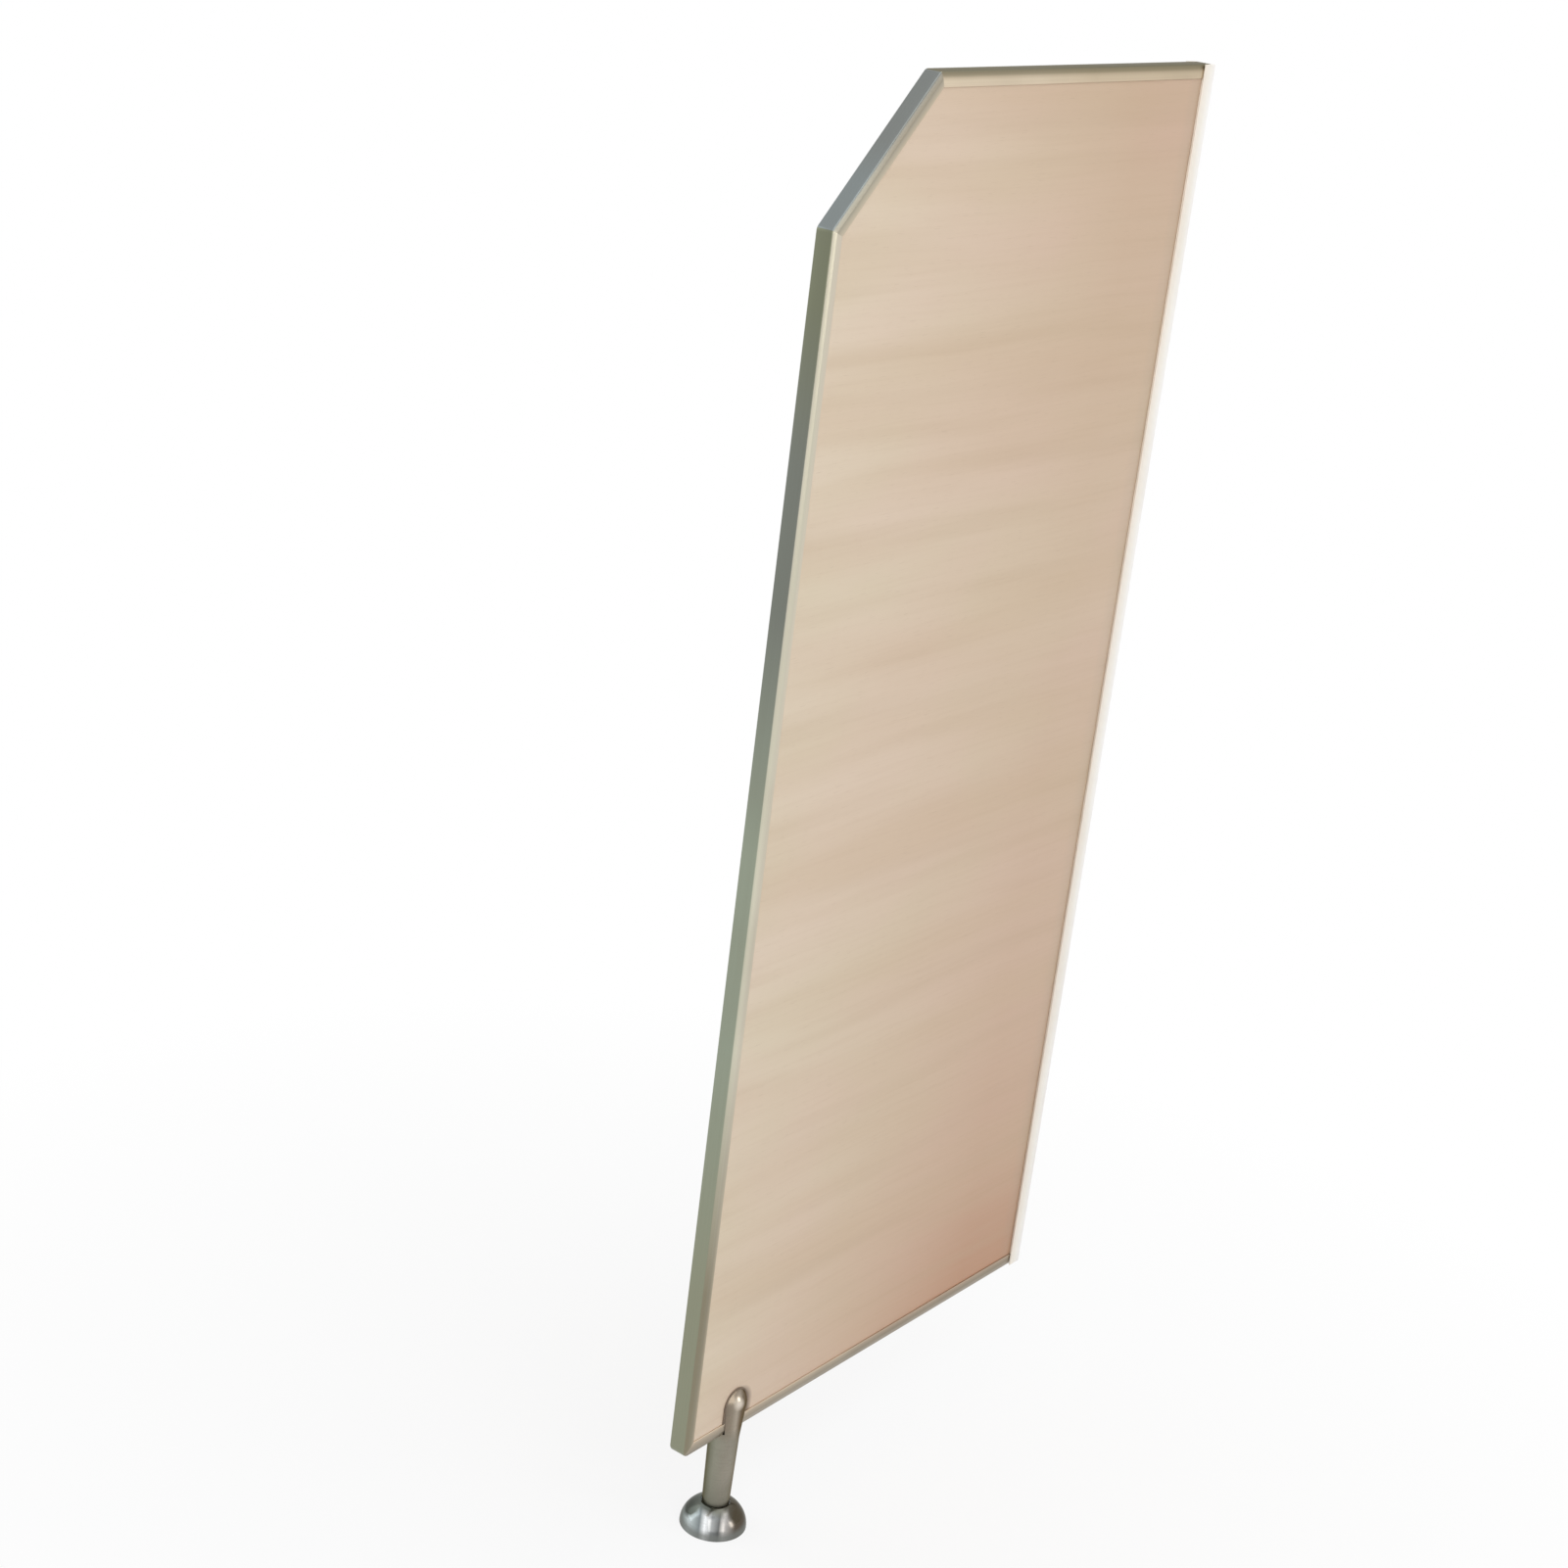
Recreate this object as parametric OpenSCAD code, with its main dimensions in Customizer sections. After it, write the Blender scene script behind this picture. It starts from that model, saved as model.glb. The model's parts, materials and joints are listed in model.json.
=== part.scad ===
// Urinal privacy screen: a laminated board with a cut top front corner, edged all round in
// extruded aluminium, held at the wall by a screwed channel and at the front by a forked foot.
// Origin: on the floor, at the centre of the foot. +X is the face of the panel without screws,
// +Y points to the wall, +Z is up.

/* [Panel] */
// Distance from the wall to the front edge
panel_depth = 520; // [350:10:700]
// Height of the edged panel
panel_height = 1170; // [700:10:1600]
// Clear height between the floor and the panel
floor_gap = 100; // [95:5:160]
// Thickness of the finished board
board_thickness = 15; // [12:1:18]
// Thickness of the wood-grain laminate on each face
laminate_thickness = 0.8; // [0.6:0.1:1.2]
// Legs of the 45 degree cut at the top front corner
corner_cut = 113; // [60:1:200]

/* [Edge trim] */
// Width of the trim on the faces, from its outer edge
trim_width = 12; // [10:1:17]
// Wall of the two flanges
flange_wall = 1; // [0.8:0.1:1.2]
// Wall of the web that closes the edge
web_wall = 1.2; // [1:0.1:1.5]
// Length of the hollow bevelled nose in front of the board
nose_depth = 5; // [4.5:0.25:5.5]
// How far the nose is narrower than the flanges, on each side
nose_bevel = 1.2; // [0.6:0.2:1.6]
// Outer radius of the bend at the lower front corner
lower_bend = 8; // [7:0.5:10]
// Outer radius of the two bends of the cut corner
upper_bend = 6; // [5:0.5:8]
// Clearance of the trim on the laminate, and of the board behind the nose
trim_fit = 0.1; // [0.05:0.05:0.2]
// Thickness of the flat keys that join the trims at the corners
key_thickness = 2.5; // [2:0.25:2.75]
// Clearance of the corner keys in the hollow nose, on each side
key_play = 0.4; // [0.2:0.1:0.8]
// Length of each arm of a corner key
key_arm = 28; // [20:1:40]

/* [Wall channel] */
// Depth of the channel's flanges, from the wall
channel_depth = 16; // [16:1:24]
// Wall of the channel
channel_wall = 1.5; // [1.2:0.1:2]
// Clearance between the channel and the edged panel, on each side
channel_fit = 0.15; // [0.1:0.05:0.3]
// Room for screw heads between the channel's web and the panel
head_room = 2; // [1.5:0.5:2.5]
// Diameter of the holes for the wall screws
wall_hole = 5.5; // [4.5:0.5:6]
// Distance of the outer wall screws from the channel's ends
wall_hole_inset = 90; // [40:10:150]
// Number of wall screws
wall_hole_count = 4; // [2:1:6]
// Thread diameter of the screws through the channel's hidden flange
fixing_thread = 3.5; // [3:0.1:4]
// Length of those screws under the head
fixing_length = 12; // [8:1:12]
// Distance of the outer fixing screws from the channel's ends
fixing_inset = 60; // [30:5:80]
// Number of fixing screws
fixing_count = 4; // [2:1:6]

/* [Foot post] */
// Distance of the post's axis from the front edge of the panel
post_setback = 67.5; // [50:2.5:120]
// Diameter of the post at its lower end
post_low = 24.4; // [22:0.2:27]
// Diameter of the post just under its head
post_high = 27.4; // [27:0.2:29]
// Diameter of the rounded head that straddles the panel
head_size = 33; // [31:0.5:38]
// Height of the head's centre above the panel's lower edge
head_rise = 27; // [26:0.5:34]
// Length of the flare under the panel's lower edge
flare_drop = 8; // [4:1:16]
// Clearance of the slot on each side of the trim
slot_fit = 0.2; // [0.1:0.05:0.3]
// Clearance between the post's lower end and the stud's hexagon with the foot screwed right in
post_play = 0.3; // [0.2:0.1:2]
// How far the rubber pads show around the head
pad_rim = 1.5; // [0.5:0.25:2]
// Thread diameter of the two clamp screws
clamp_thread = 5; // [4:0.5:5]
// Height of the lower clamp screw above the trim's flange
clamp_margin = 4; // [3.5:0.5:5]
// Distance between the clamp screws
clamp_pitch = 13; // [11:0.5:14]
// Depth of the thread in the far ear
clamp_bite = 3.8; // [3:0.2:4]

/* [Foot base] */
// Diameter of the levelling stud's thread
stud_thread = 12; // [10:1:14]
// Length of the levelling stud's thread
stud_length = 47; // [35:1:55]
// Width across the flats of the stud's hexagon
stud_flats = 14; // [13:0.5:15]
// Height of the stud's hexagon
stud_hex = 4; // [3:0.25:4]
// Diameter of the stud's journal in the base plate
journal = 9; // [7:0.5:10]
// Running clearance of the journal and the thread, on each side
running_fit = 0.08; // [0.04:0.01:0.1]
// End play between parts that turn on each other
end_play = 0.2; // [0.15:0.05:0.4]
// Diameter of the base plate
base_size = 52; // [46:1:53]
// Thickness of the base plate
base_thickness = 4.5; // [4:0.1:4.6]
// Thickness of the rubber pad under the base plate
pad_thickness = 1.5; // [1:0.1:1.6]
// Room around the retaining ring in its recess, on each side
recess_room = 1.5; // [1:0.25:2.5]
// Outside diameter of the retaining ring
ring_size = 14; // [12:0.5:15]
// Thickness of the retaining ring
ring_thickness = 1; // [0.8:0.1:1.2]
// Number of floor screws
floor_hole_count = 3; // [2:1:4]
// Distance of the floor screws' centres from the rim of the base plate
floor_hole_edge = 7; // [5:0.5:8]
// Diameter of the floor screw holes
floor_hole = 5.5; // [4.5:0.25:6]

// How far the stud raises or lowers the foot from its middle setting
level_range = 4.5; // [2:0.25:4.5]

/* [Dome cover] */
// Room between the rims of the base plate and the cover, on each side
cover_room = 3; // [2.6:0.1:6]
// Height of the cover
cover_height = 23.5; // [19.5:0.5:26]
// Sheet thickness of the cover
cover_wall = 1; // [0.8:0.1:1.4]
// How far the cover lifts off the floor
cover_lift = 30; // [15:1:35]
// Clearance of the cover's hole on the post with the cover lifted, on each side
hole_play = 0.25; // [0.2:0.05:1]

/* [Hidden] */
$fn = 72;

over = 1; // how far a cutting solid runs past what it cuts
square_turn = 90; // at a square corner of the panel
cut_turn = 45; // at each end of the cut corner
hole_end = 1; // how much deeper a blind hole is than its screw
edge_break = 0.5; // flat on the corners of the trim's section
key_steps = 8; // straight pieces in the bend of a corner key
groove_depth = 0.8; // of the retaining ring's groove in the journal
ring_gap = 6; // opening of the retaining ring
head_thickness = 2.4; // of the fixing screws
head_spread = 3.4; // how much wider than its thread a fixing screw's head is
screw_point = 0.25; // blunt end of a fixing screw, as a part of its thread
cross_slot = 1.1; // width of the cross recess
cross_depth = 1.6;
sink_depth = 2.3; // of the clamp screws' countersunk heads
sink_spread = 4; // how much wider than its thread a clamp screw's head is
clamp_clearance = 0.3; // of the clamp screws in what they pass through
clamp_socket = 0.7; // hexagon socket of a clamp screw over its corners, as a part of its thread
dome_steps = 28; // straight pieces in the cover's outline
plate_bevel = 1;
thread_tip = 1.5;
stud_lift = 0.3; // of the stud's lower end above the floor pad's top

// Panel outline and trim, from the outer edge inwards
front = -post_setback;
wall = panel_depth - post_setback;
flange_face = board_thickness / 2 + trim_fit + flange_wall;
nose_face = flange_face - nose_bevel;
board_inset = nose_depth + trim_fit;
rear = wall - channel_wall - head_room;
bottom = floor_gap;
top = floor_gap + panel_height;
edged_depth = rear - front;
cut_length = corner_cut * sqrt(2);
key_width = 2 * (nose_face - flange_wall - key_play);
fixing_y = (rear - nose_depth + max(wall - channel_depth, rear - trim_width)) / 2;
channel_face = flange_face + channel_fit + channel_wall;

// Foot, from the floor upwards
plate_bottom = pad_thickness;
plate_top = plate_bottom + base_thickness;
hex_bottom = plate_top + end_play;
hex_top = hex_bottom + stud_hex;
recess_top = plate_bottom + base_thickness / 2 + end_play / 2;
ring_top = recess_top - end_play;
stud_tip = plate_bottom + stud_lift;
ring_recess = ring_size + 2 * recess_room;
floor_hole_circle = base_size - 2 * floor_hole_edge;
post_end = hex_top + level_range + post_play;
slot_face = flange_face + slot_fit;
head_z = bottom + head_rise;
flare_z = bottom - flare_drop;
cover_size = base_size + 2 * (cover_room + cover_wall);
lifted = cover_height + cover_lift + level_range;
cover_hole = post_low + (post_high - post_low) * (lifted - post_end) / (flare_z - post_end)
    + 2 * hole_play;
clamp_low = bottom + trim_width + clamp_margin;
sink_radius = (clamp_thread + sink_spread) / 2;
upper_rim = clamp_low + clamp_pitch + sink_radius - head_z;
flare_radius = post_high / 2
    + (head_size - post_high) / 2 * (clamp_low - sink_radius - flare_z) / (head_z - flare_z);
clamp_seat = min(sqrt(pow(head_size / 2, 2) - pow(upper_rim, 2)),
    sqrt(pow(flare_radius, 2) - pow(sink_radius, 2)));

// ---------- Edge trim: a section that runs along the panel's edge and round its bends ----------

// Section of the trim: first number inwards from the edge, second across the panel
module trim_section() {
    half = [[0, nose_face - edge_break], [edge_break, nose_face + edge_break * nose_bevel / nose_depth],
        [nose_depth, flange_face], [trim_width - edge_break, flange_face],
        [trim_width, flange_face - edge_break], [trim_width, flange_face - flange_wall],
        [nose_depth, flange_face - flange_wall], [web_wall, nose_face - flange_wall]];
    polygon(concat(half, [for (i = [len(half) - 1 : -1 : 0]) [half[i][0], -half[i][1]]]));
}

// A half bend of a section about the thickness axis: from the straight run, through half the turn
module half_bend(radius, turn) {
    rotate([0, 0, -90]) rotate_extrude(angle = turn / 2)
        intersection() {
            translate([radius, 0]) mirror([1, 0]) children();
            translate([0, -flange_face - over]) square([radius, 2 * (flange_face + over)]);
        }
}

// A straight run along X with its section inwards along Y, ending in a half turn at each end.
// Both ends are cut on the bisector of their corner.
module edge_run(run, turns, radii) {
    tangents = [radii[0] * tan(turns[0] / 2), radii[1] * tan(turns[1] / 2)];
    reach = trim_width + over;
    intersection() {
        union() {
            translate([tangents[0], 0, 0]) rotate([90, 0, 90])
                linear_extrude(run - tangents[0] - tangents[1]) children();
            if (radii[0] > 0)
                translate([tangents[0], radii[0], 0]) mirror([1, 0, 0])
                    half_bend(radii[0], turns[0]) children();
            if (radii[1] > 0)
                translate([run - tangents[1], radii[1], 0])
                    half_bend(radii[1], turns[1]) children();
        }
        translate([0, 0, -flange_face - over]) linear_extrude(2 * (flange_face + over))
            polygon([[0, 0], [run, 0], [run - reach * tan(turns[1] / 2), reach],
                [reach * tan(turns[0] / 2), reach]]);
    }
}

// Puts a run on the panel's edge, from a corner and in a heading: 0 is to the wall, 90 is up
module from_corner(y, z, heading) {
    translate([0, y, z]) rotate([heading, 0, 0]) rotate([-90, 0, 90]) children();
}

module aluminium() { color([0.60, 0.61, 0.56]) children(); }

module front_trim() {
    aluminium() from_corner(front, bottom, 90)
        edge_run(panel_height - corner_cut, [square_turn, cut_turn], [lower_bend, upper_bend])
            trim_section();
}

module corner_trim() {
    aluminium() from_corner(front, top - corner_cut, cut_turn)
        edge_run(cut_length, [cut_turn, cut_turn], [upper_bend, upper_bend]) trim_section();
}

module top_trim() {
    aluminium() from_corner(front + corner_cut, top, 0)
        edge_run(edged_depth - corner_cut, [cut_turn, square_turn], [upper_bend, 0]) trim_section();
}

module rear_trim() {
    aluminium() difference() {
        from_corner(rear, top, -90)
            edge_run(panel_height, [square_turn, square_turn], [0, 0]) trim_section();
        fixing_holes(fixing_thread / 2 + trim_fit);
    }
}

module bottom_trim() {
    aluminium() from_corner(rear, bottom, 180)
        edge_run(edged_depth, [square_turn, square_turn], [0, lower_bend]) trim_section();
}

// One side of a corner key, at a depth from the panel's edge: along one arm, round the bend and
// along the other arm. First number along the edge that leaves the corner, second inwards.
function key_side(depth, turn, radius) =
    let (tangent = radius * tan(turn / 2), reach = tangent + key_arm, around = radius - depth)
    concat([[reach, depth]],
        around > 0
            ? [for (i = [0 : key_steps]) let (a = turn * i / key_steps)
                [tangent - around * sin(a), radius - around * cos(a)]]
            : [[depth * tan(turn / 2), depth]],
        [[depth * sin(turn) - reach * cos(turn), depth * cos(turn) + reach * sin(turn)]]);

// A flat strip bent to lie in the hollow noses of the two trims that meet at a corner
module corner_key(y, z, heading, turn, radius) {
    outer = key_side(web_wall + trim_fit, turn, radius);
    inner = key_side(web_wall + trim_fit + key_thickness, turn, radius);
    from_corner(y, z, heading) linear_extrude(key_width, center = true)
        polygon(concat(outer, [for (i = [len(inner) - 1 : -1 : 0]) inner[i]]));
}

module key_steel() { color([0.45, 0.46, 0.47]) children(); }

module lower_key() { key_steel() corner_key(front, bottom, 90, square_turn, lower_bend); }

module cut_corner_keys() {
    key_steel() {
        corner_key(front, top - corner_cut, cut_turn, cut_turn, upper_bend);
        corner_key(front + corner_cut, top, 0, cut_turn, upper_bend);
    }
}

module rear_keys() {
    key_steel() {
        corner_key(rear, top, -90, square_turn, 0);
        corner_key(rear, bottom, 180, square_turn, 0);
    }
}

// ---------- Board: a core with a laminate on each face ----------

// Outline of the board in depth and height, inside the nose of the trim
module board_outline() {
    slope_end = corner_cut + board_inset * tan(cut_turn / 2);
    difference() {
        polygon([[front + board_inset, bottom + board_inset], [front + board_inset, top - slope_end],
            [front + slope_end, top - board_inset], [rear - board_inset, top - board_inset],
            [rear - board_inset, bottom + board_inset]]);
        translate([front, bottom]) bend_waste();
    }
}

// What the bend at the lower front corner takes off the board's own corner
module bend_waste() {
    difference() {
        square(lower_bend);
        translate([lower_bend, lower_bend]) circle(r = lower_bend - board_inset);
    }
}

// A sheet of the board's outline between two distances from the panel's middle plane
module board_sheet(from, to) {
    translate([from, 0, 0]) rotate([90, 0, 90]) linear_extrude(to - from) board_outline();
}

module clamp_holes(radius) {
    for (i = [0, 1]) translate([0, 0, clamp_low + i * clamp_pitch]) rotate([0, 90, 0])
        cylinder(r = radius, h = 4 * head_size, center = true);
}

// Heights of a row of equally spaced screws between the channel's ends
function row(count, inset) =
    [for (i = [0 : count - 1]) bottom + inset + i * (panel_height - 2 * inset) / (count - 1)];

module fixing_holes(radius) {
    for (z = row(fixing_count, fixing_inset)) translate([-channel_face, fixing_y, z])
        rotate([0, 90, 0]) translate([0, 0, -over])
            cylinder(r = radius, h = fixing_length + hole_end + over);
}

module panel_core() {
    color([0.74, 0.62, 0.47]) difference() {
        board_sheet(laminate_thickness - board_thickness / 2, board_thickness / 2 - laminate_thickness);
        clamp_holes(clamp_thread / 2 + clamp_clearance);
        fixing_holes(fixing_thread / 2 + trim_fit);
    }
}

module laminate_right() {
    color([0.86, 0.76, 0.65]) difference() {
        board_sheet(board_thickness / 2 - laminate_thickness, board_thickness / 2);
        clamp_holes(clamp_thread / 2 + clamp_clearance);
    }
}

module laminate_left() {
    color([0.86, 0.76, 0.65]) difference() {
        board_sheet(-board_thickness / 2, laminate_thickness - board_thickness / 2);
        clamp_holes(clamp_thread / 2 + clamp_clearance);
        fixing_holes(fixing_thread / 2 + trim_fit);
    }
}

// ---------- Wall channel and its screws ----------

module channel_outline() {
    inner = channel_face - channel_wall;
    soft = channel_wall / 2;
    difference() {
        polygon([[-channel_face, wall - channel_depth + soft],
            [soft - channel_face, wall - channel_depth],
            [channel_face - soft, wall - channel_depth],
            [channel_face, wall - channel_depth + soft], [channel_face, wall - soft],
            [channel_face - soft, wall], [soft - channel_face, wall], [-channel_face, wall - soft]]);
        translate([-inner, wall - channel_depth - over])
            square([2 * inner, channel_depth + over - channel_wall]);
    }
}

module wall_channel() {
    color([0.80, 0.80, 0.78]) difference() {
        translate([0, 0, bottom]) linear_extrude(panel_height) channel_outline();
        for (z = row(wall_hole_count, wall_hole_inset)) translate([0, wall + over, z])
            rotate([90, 0, 0]) cylinder(d = wall_hole, h = channel_wall + 2 * over);
        fixing_holes(fixing_thread / 2 + trim_fit);
    }
}

// A pan-head screw along Z, head down, with its head's seat at the origin
module pan_screw(thread, length) {
    tip = thread / 2;
    difference() {
        union() {
            rotate_extrude() polygon([[0, 0], [(thread + head_spread) / 2, 0],
                [(thread + head_spread) / 2, -head_thickness / 3],
                [(thread + head_spread) / 2 - head_thickness / 3, -head_thickness * 5 / 6],
                [thread / 2, -head_thickness], [0, -head_thickness]]);
            cylinder(d = thread, h = length - tip);
            translate([0, 0, length - tip]) cylinder(d1 = thread, d2 = screw_point * thread, h = tip);
        }
        for (turn = [0, 90]) rotate([0, 0, turn])
            translate([-thread / 2, -cross_slot / 2, -head_thickness - over])
                cube([thread, cross_slot, cross_depth + over]);
    }
}

module channel_screws() {
    color([0.72, 0.72, 0.74]) for (z = row(fixing_count, fixing_inset))
        translate([-channel_face, fixing_y, z]) rotate([0, 90, 0])
            pan_screw(fixing_thread, fixing_length);
}

// ---------- Foot post: a tapered leg with a forked ball head ----------

// Point where the flare meets the head's ball as a tangent: radius and height
function flare_touch() =
    let (drop = head_z - flare_z, ball = head_size / 2, side = post_high / 2)
    let (turn = acos(ball / norm([side, drop])) - atan2(drop, side))
    [ball * cos(turn), head_z + ball * sin(turn)];

module post_body() {
    rotate_extrude() polygon([[0, post_end], [post_low / 2 - thread_tip / 2, post_end],
        [post_low / 2, post_end + thread_tip / 2], [post_high / 2, flare_z], flare_touch(),
        [0, flare_touch()[1]]]);
    translate([0, 0, head_z]) sphere(d = head_size);
}

module foot_post() {
    color([0.66, 0.64, 0.60]) difference() {
        post_body();
        translate([-slot_face, -head_size, bottom]) cube([2 * slot_face, 2 * head_size, 2 * head_size]);
        translate([0, 0, post_end - over])
            cylinder(r = stud_thread / 2 + running_fit, h = stud_length + over + end_play);
        for (i = [0, 1]) translate([0, 0, clamp_low + i * clamp_pitch]) clamp_cut();
    }
}

// What one clamp screw takes out of the two ears
module clamp_cut() {
    head = sink_radius + trim_fit;
    rotate([0, 90, 0]) {
        translate([0, 0, -clamp_seat - head_size]) cylinder(r = head, h = head_size);
        translate([0, 0, -clamp_seat])
            cylinder(r1 = head, r2 = clamp_thread / 2 + clamp_clearance, h = sink_depth + trim_fit);
        translate([0, 0, -clamp_seat])
            cylinder(r = clamp_thread / 2 + clamp_clearance, h = clamp_seat);
        cylinder(r = clamp_thread / 2 + trim_fit / 2, h = slot_face + clamp_bite);
    }
}

module clamp_screws() {
    color([0.55, 0.55, 0.57]) for (i = [0, 1])
        translate([0, 0, clamp_low + i * clamp_pitch]) rotate([0, 90, 0]) difference() {
            union() {
                translate([0, 0, -clamp_seat])
                    cylinder(r1 = sink_radius, r2 = clamp_thread / 2, h = sink_depth);
                translate([0, 0, -clamp_seat])
                    cylinder(d = clamp_thread, h = clamp_seat + slot_face + clamp_bite - end_play);
            }
            translate([0, 0, -clamp_seat - over])
                cylinder(d = clamp_socket * clamp_thread, h = sink_depth + over, $fn = 6);
        }
}

module clamp_pads() {
    chord = sqrt(pow(head_size / 2, 2) - pow(slot_face, 2)) + pad_rim;
    low = bottom + trim_width + trim_fit;
    pad = slot_face - board_thickness / 2 - 2 * trim_fit;
    color([0.20, 0.18, 0.17]) for (side = [0, 1]) mirror([side, 0, 0]) difference() {
        translate([board_thickness / 2 + trim_fit, 0, 0]) rotate([90, 0, 90])
            linear_extrude(pad) union() {
                translate([-chord, low]) square([2 * chord, head_z - low]);
                intersection() {
                    translate([0, head_z]) circle(r = chord);
                    translate([-chord, head_z]) square(2 * chord);
                }
            }
        clamp_holes(clamp_thread / 2 + clamp_clearance);
    }
}

// ---------- Foot base: levelling stud, ring, plate, pad and cover ----------

module levelling_stud() {
    core = journal / 2 - groove_depth;
    color([0.70, 0.70, 0.72]) union() {
        rotate_extrude() polygon([[0, stud_tip], [journal / 2, stud_tip],
            [journal / 2, ring_top - ring_thickness - end_play / 2],
            [core, ring_top - ring_thickness - end_play / 2], [core, ring_top + end_play / 2],
            [journal / 2, ring_top + end_play / 2], [journal / 2, hex_bottom],
            [0, hex_bottom]]);
        translate([0, 0, hex_bottom])
            cylinder(d = stud_flats / cos(30), h = stud_hex, $fn = 6);
        rotate_extrude() polygon([[0, hex_top], [stud_thread / 2, hex_top],
            [stud_thread / 2, hex_top + stud_length - thread_tip],
            [stud_thread / 2 - thread_tip, hex_top + stud_length], [0, hex_top + stud_length]]);
    }
}

module retaining_ring() {
    core = journal / 2 - groove_depth;
    color([0.30, 0.30, 0.32]) translate([0, 0, ring_top - ring_thickness]) difference() {
        cylinder(d = ring_size, h = ring_thickness);
        translate([0, 0, -over]) cylinder(r = core + running_fit, h = ring_thickness + 2 * over);
        translate([0, -ring_gap / 2, -over])
            cube([ring_size, ring_gap, ring_thickness + 2 * over]);
    }
}

module floor_holes(radius) {
    for (i = [0 : floor_hole_count - 1]) rotate([0, 0, 90 + i * 360 / floor_hole_count])
        translate([floor_hole_circle / 2, 0, -over])
            cylinder(r = radius, h = plate_top + 2 * over);
}

module base_plate() {
    color([0.62, 0.62, 0.63]) difference() {
        rotate_extrude() polygon([[journal / 2 + running_fit, recess_top],
            [ring_recess / 2, recess_top], [ring_recess / 2, plate_bottom],
            [base_size / 2, plate_bottom], [base_size / 2, plate_top - plate_bevel],
            [base_size / 2 - plate_bevel, plate_top], [journal / 2 + running_fit, plate_top]]);
        floor_holes(floor_hole / 2);
    }
}

module floor_pad() {
    color([0.16, 0.16, 0.16]) difference() {
        cylinder(d = base_size, h = pad_thickness);
        translate([0, 0, -over]) cylinder(d = ring_recess, h = pad_thickness + 2 * over);
        floor_holes(floor_hole / 2);
    }
}

// Half outline of an ellipse that stands on the floor and has the given radius at the hole
function dome_curve(radius, height, hole) =
    let (rise = height / sqrt(1 - pow(hole / radius, 2)), last = acos(hole / radius))
    [for (i = [0 : dome_steps]) let (a = last * i / dome_steps)
        [radius * cos(a), rise * sin(a)]];

module dome_cover() {
    outer = dome_curve(cover_size / 2, cover_height, cover_hole / 2);
    inner = dome_curve(cover_size / 2 - cover_wall, cover_height - cover_wall, cover_hole / 2);
    color([0.78, 0.78, 0.78]) rotate_extrude()
        polygon(concat(outer, [for (i = [dome_steps : -1 : 0]) inner[i]]));
}

panel_core();
laminate_right();
laminate_left();
front_trim();
corner_trim();
top_trim();
rear_trim();
bottom_trim();
lower_key();
cut_corner_keys();
rear_keys();
wall_channel();
channel_screws();
foot_post();
clamp_pads();
clamp_screws();
levelling_stud();
retaining_ring();
base_plate();
floor_pad();
dome_cover();
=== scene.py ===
# Privacy screen of a washroom, dressed around its packed construction. Metres, with the origin on
# the floor at the foot's centre, +X out of the face in view, +Y to the wall and +Z up.
import json
import math

import bmesh
import bpy
from mathutils import Matrix, Vector

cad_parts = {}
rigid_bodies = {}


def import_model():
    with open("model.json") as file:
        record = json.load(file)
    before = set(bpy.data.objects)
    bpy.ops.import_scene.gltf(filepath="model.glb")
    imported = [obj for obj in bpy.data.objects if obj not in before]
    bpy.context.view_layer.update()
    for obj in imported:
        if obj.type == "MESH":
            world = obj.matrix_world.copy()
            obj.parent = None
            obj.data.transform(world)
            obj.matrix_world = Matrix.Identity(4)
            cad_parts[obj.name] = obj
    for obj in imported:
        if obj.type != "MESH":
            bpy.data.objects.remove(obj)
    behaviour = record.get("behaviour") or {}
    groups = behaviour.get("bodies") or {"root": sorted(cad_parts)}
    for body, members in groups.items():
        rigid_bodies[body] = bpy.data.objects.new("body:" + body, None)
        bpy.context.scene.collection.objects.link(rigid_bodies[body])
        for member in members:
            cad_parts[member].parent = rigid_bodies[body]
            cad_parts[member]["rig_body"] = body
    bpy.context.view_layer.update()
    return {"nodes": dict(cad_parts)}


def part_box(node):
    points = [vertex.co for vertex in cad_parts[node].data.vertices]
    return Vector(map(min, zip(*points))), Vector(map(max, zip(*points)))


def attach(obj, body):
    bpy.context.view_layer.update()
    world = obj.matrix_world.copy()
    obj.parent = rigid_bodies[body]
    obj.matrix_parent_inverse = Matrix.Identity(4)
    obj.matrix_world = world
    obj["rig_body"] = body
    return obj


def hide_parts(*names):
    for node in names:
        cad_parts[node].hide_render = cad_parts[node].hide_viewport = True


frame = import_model()
node = frame["nodes"]

# ---- Camera -------------------------------------------------------------------------------
# A view from the front right, a little above the panel's top edge. Its place and lens make every
# straight edge of the panel fall on the photographed one.
def in_scene(name, data):
    """A new object of the scene, at the origin."""
    made = bpy.data.objects.new(name, data)
    bpy.context.scene.collection.objects.link(made)
    return made


view = in_scene("view", bpy.data.cameras.new("view"))
view.location = (1.24916, -1.77151, 1.49655)
view.rotation_euler = [math.radians(angle) for angle in (69.741, -6.680, 38.133)]
view.data.sensor_width = 36.0
view.data.lens = 65.766
bpy.context.scene.camera = view

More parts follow.
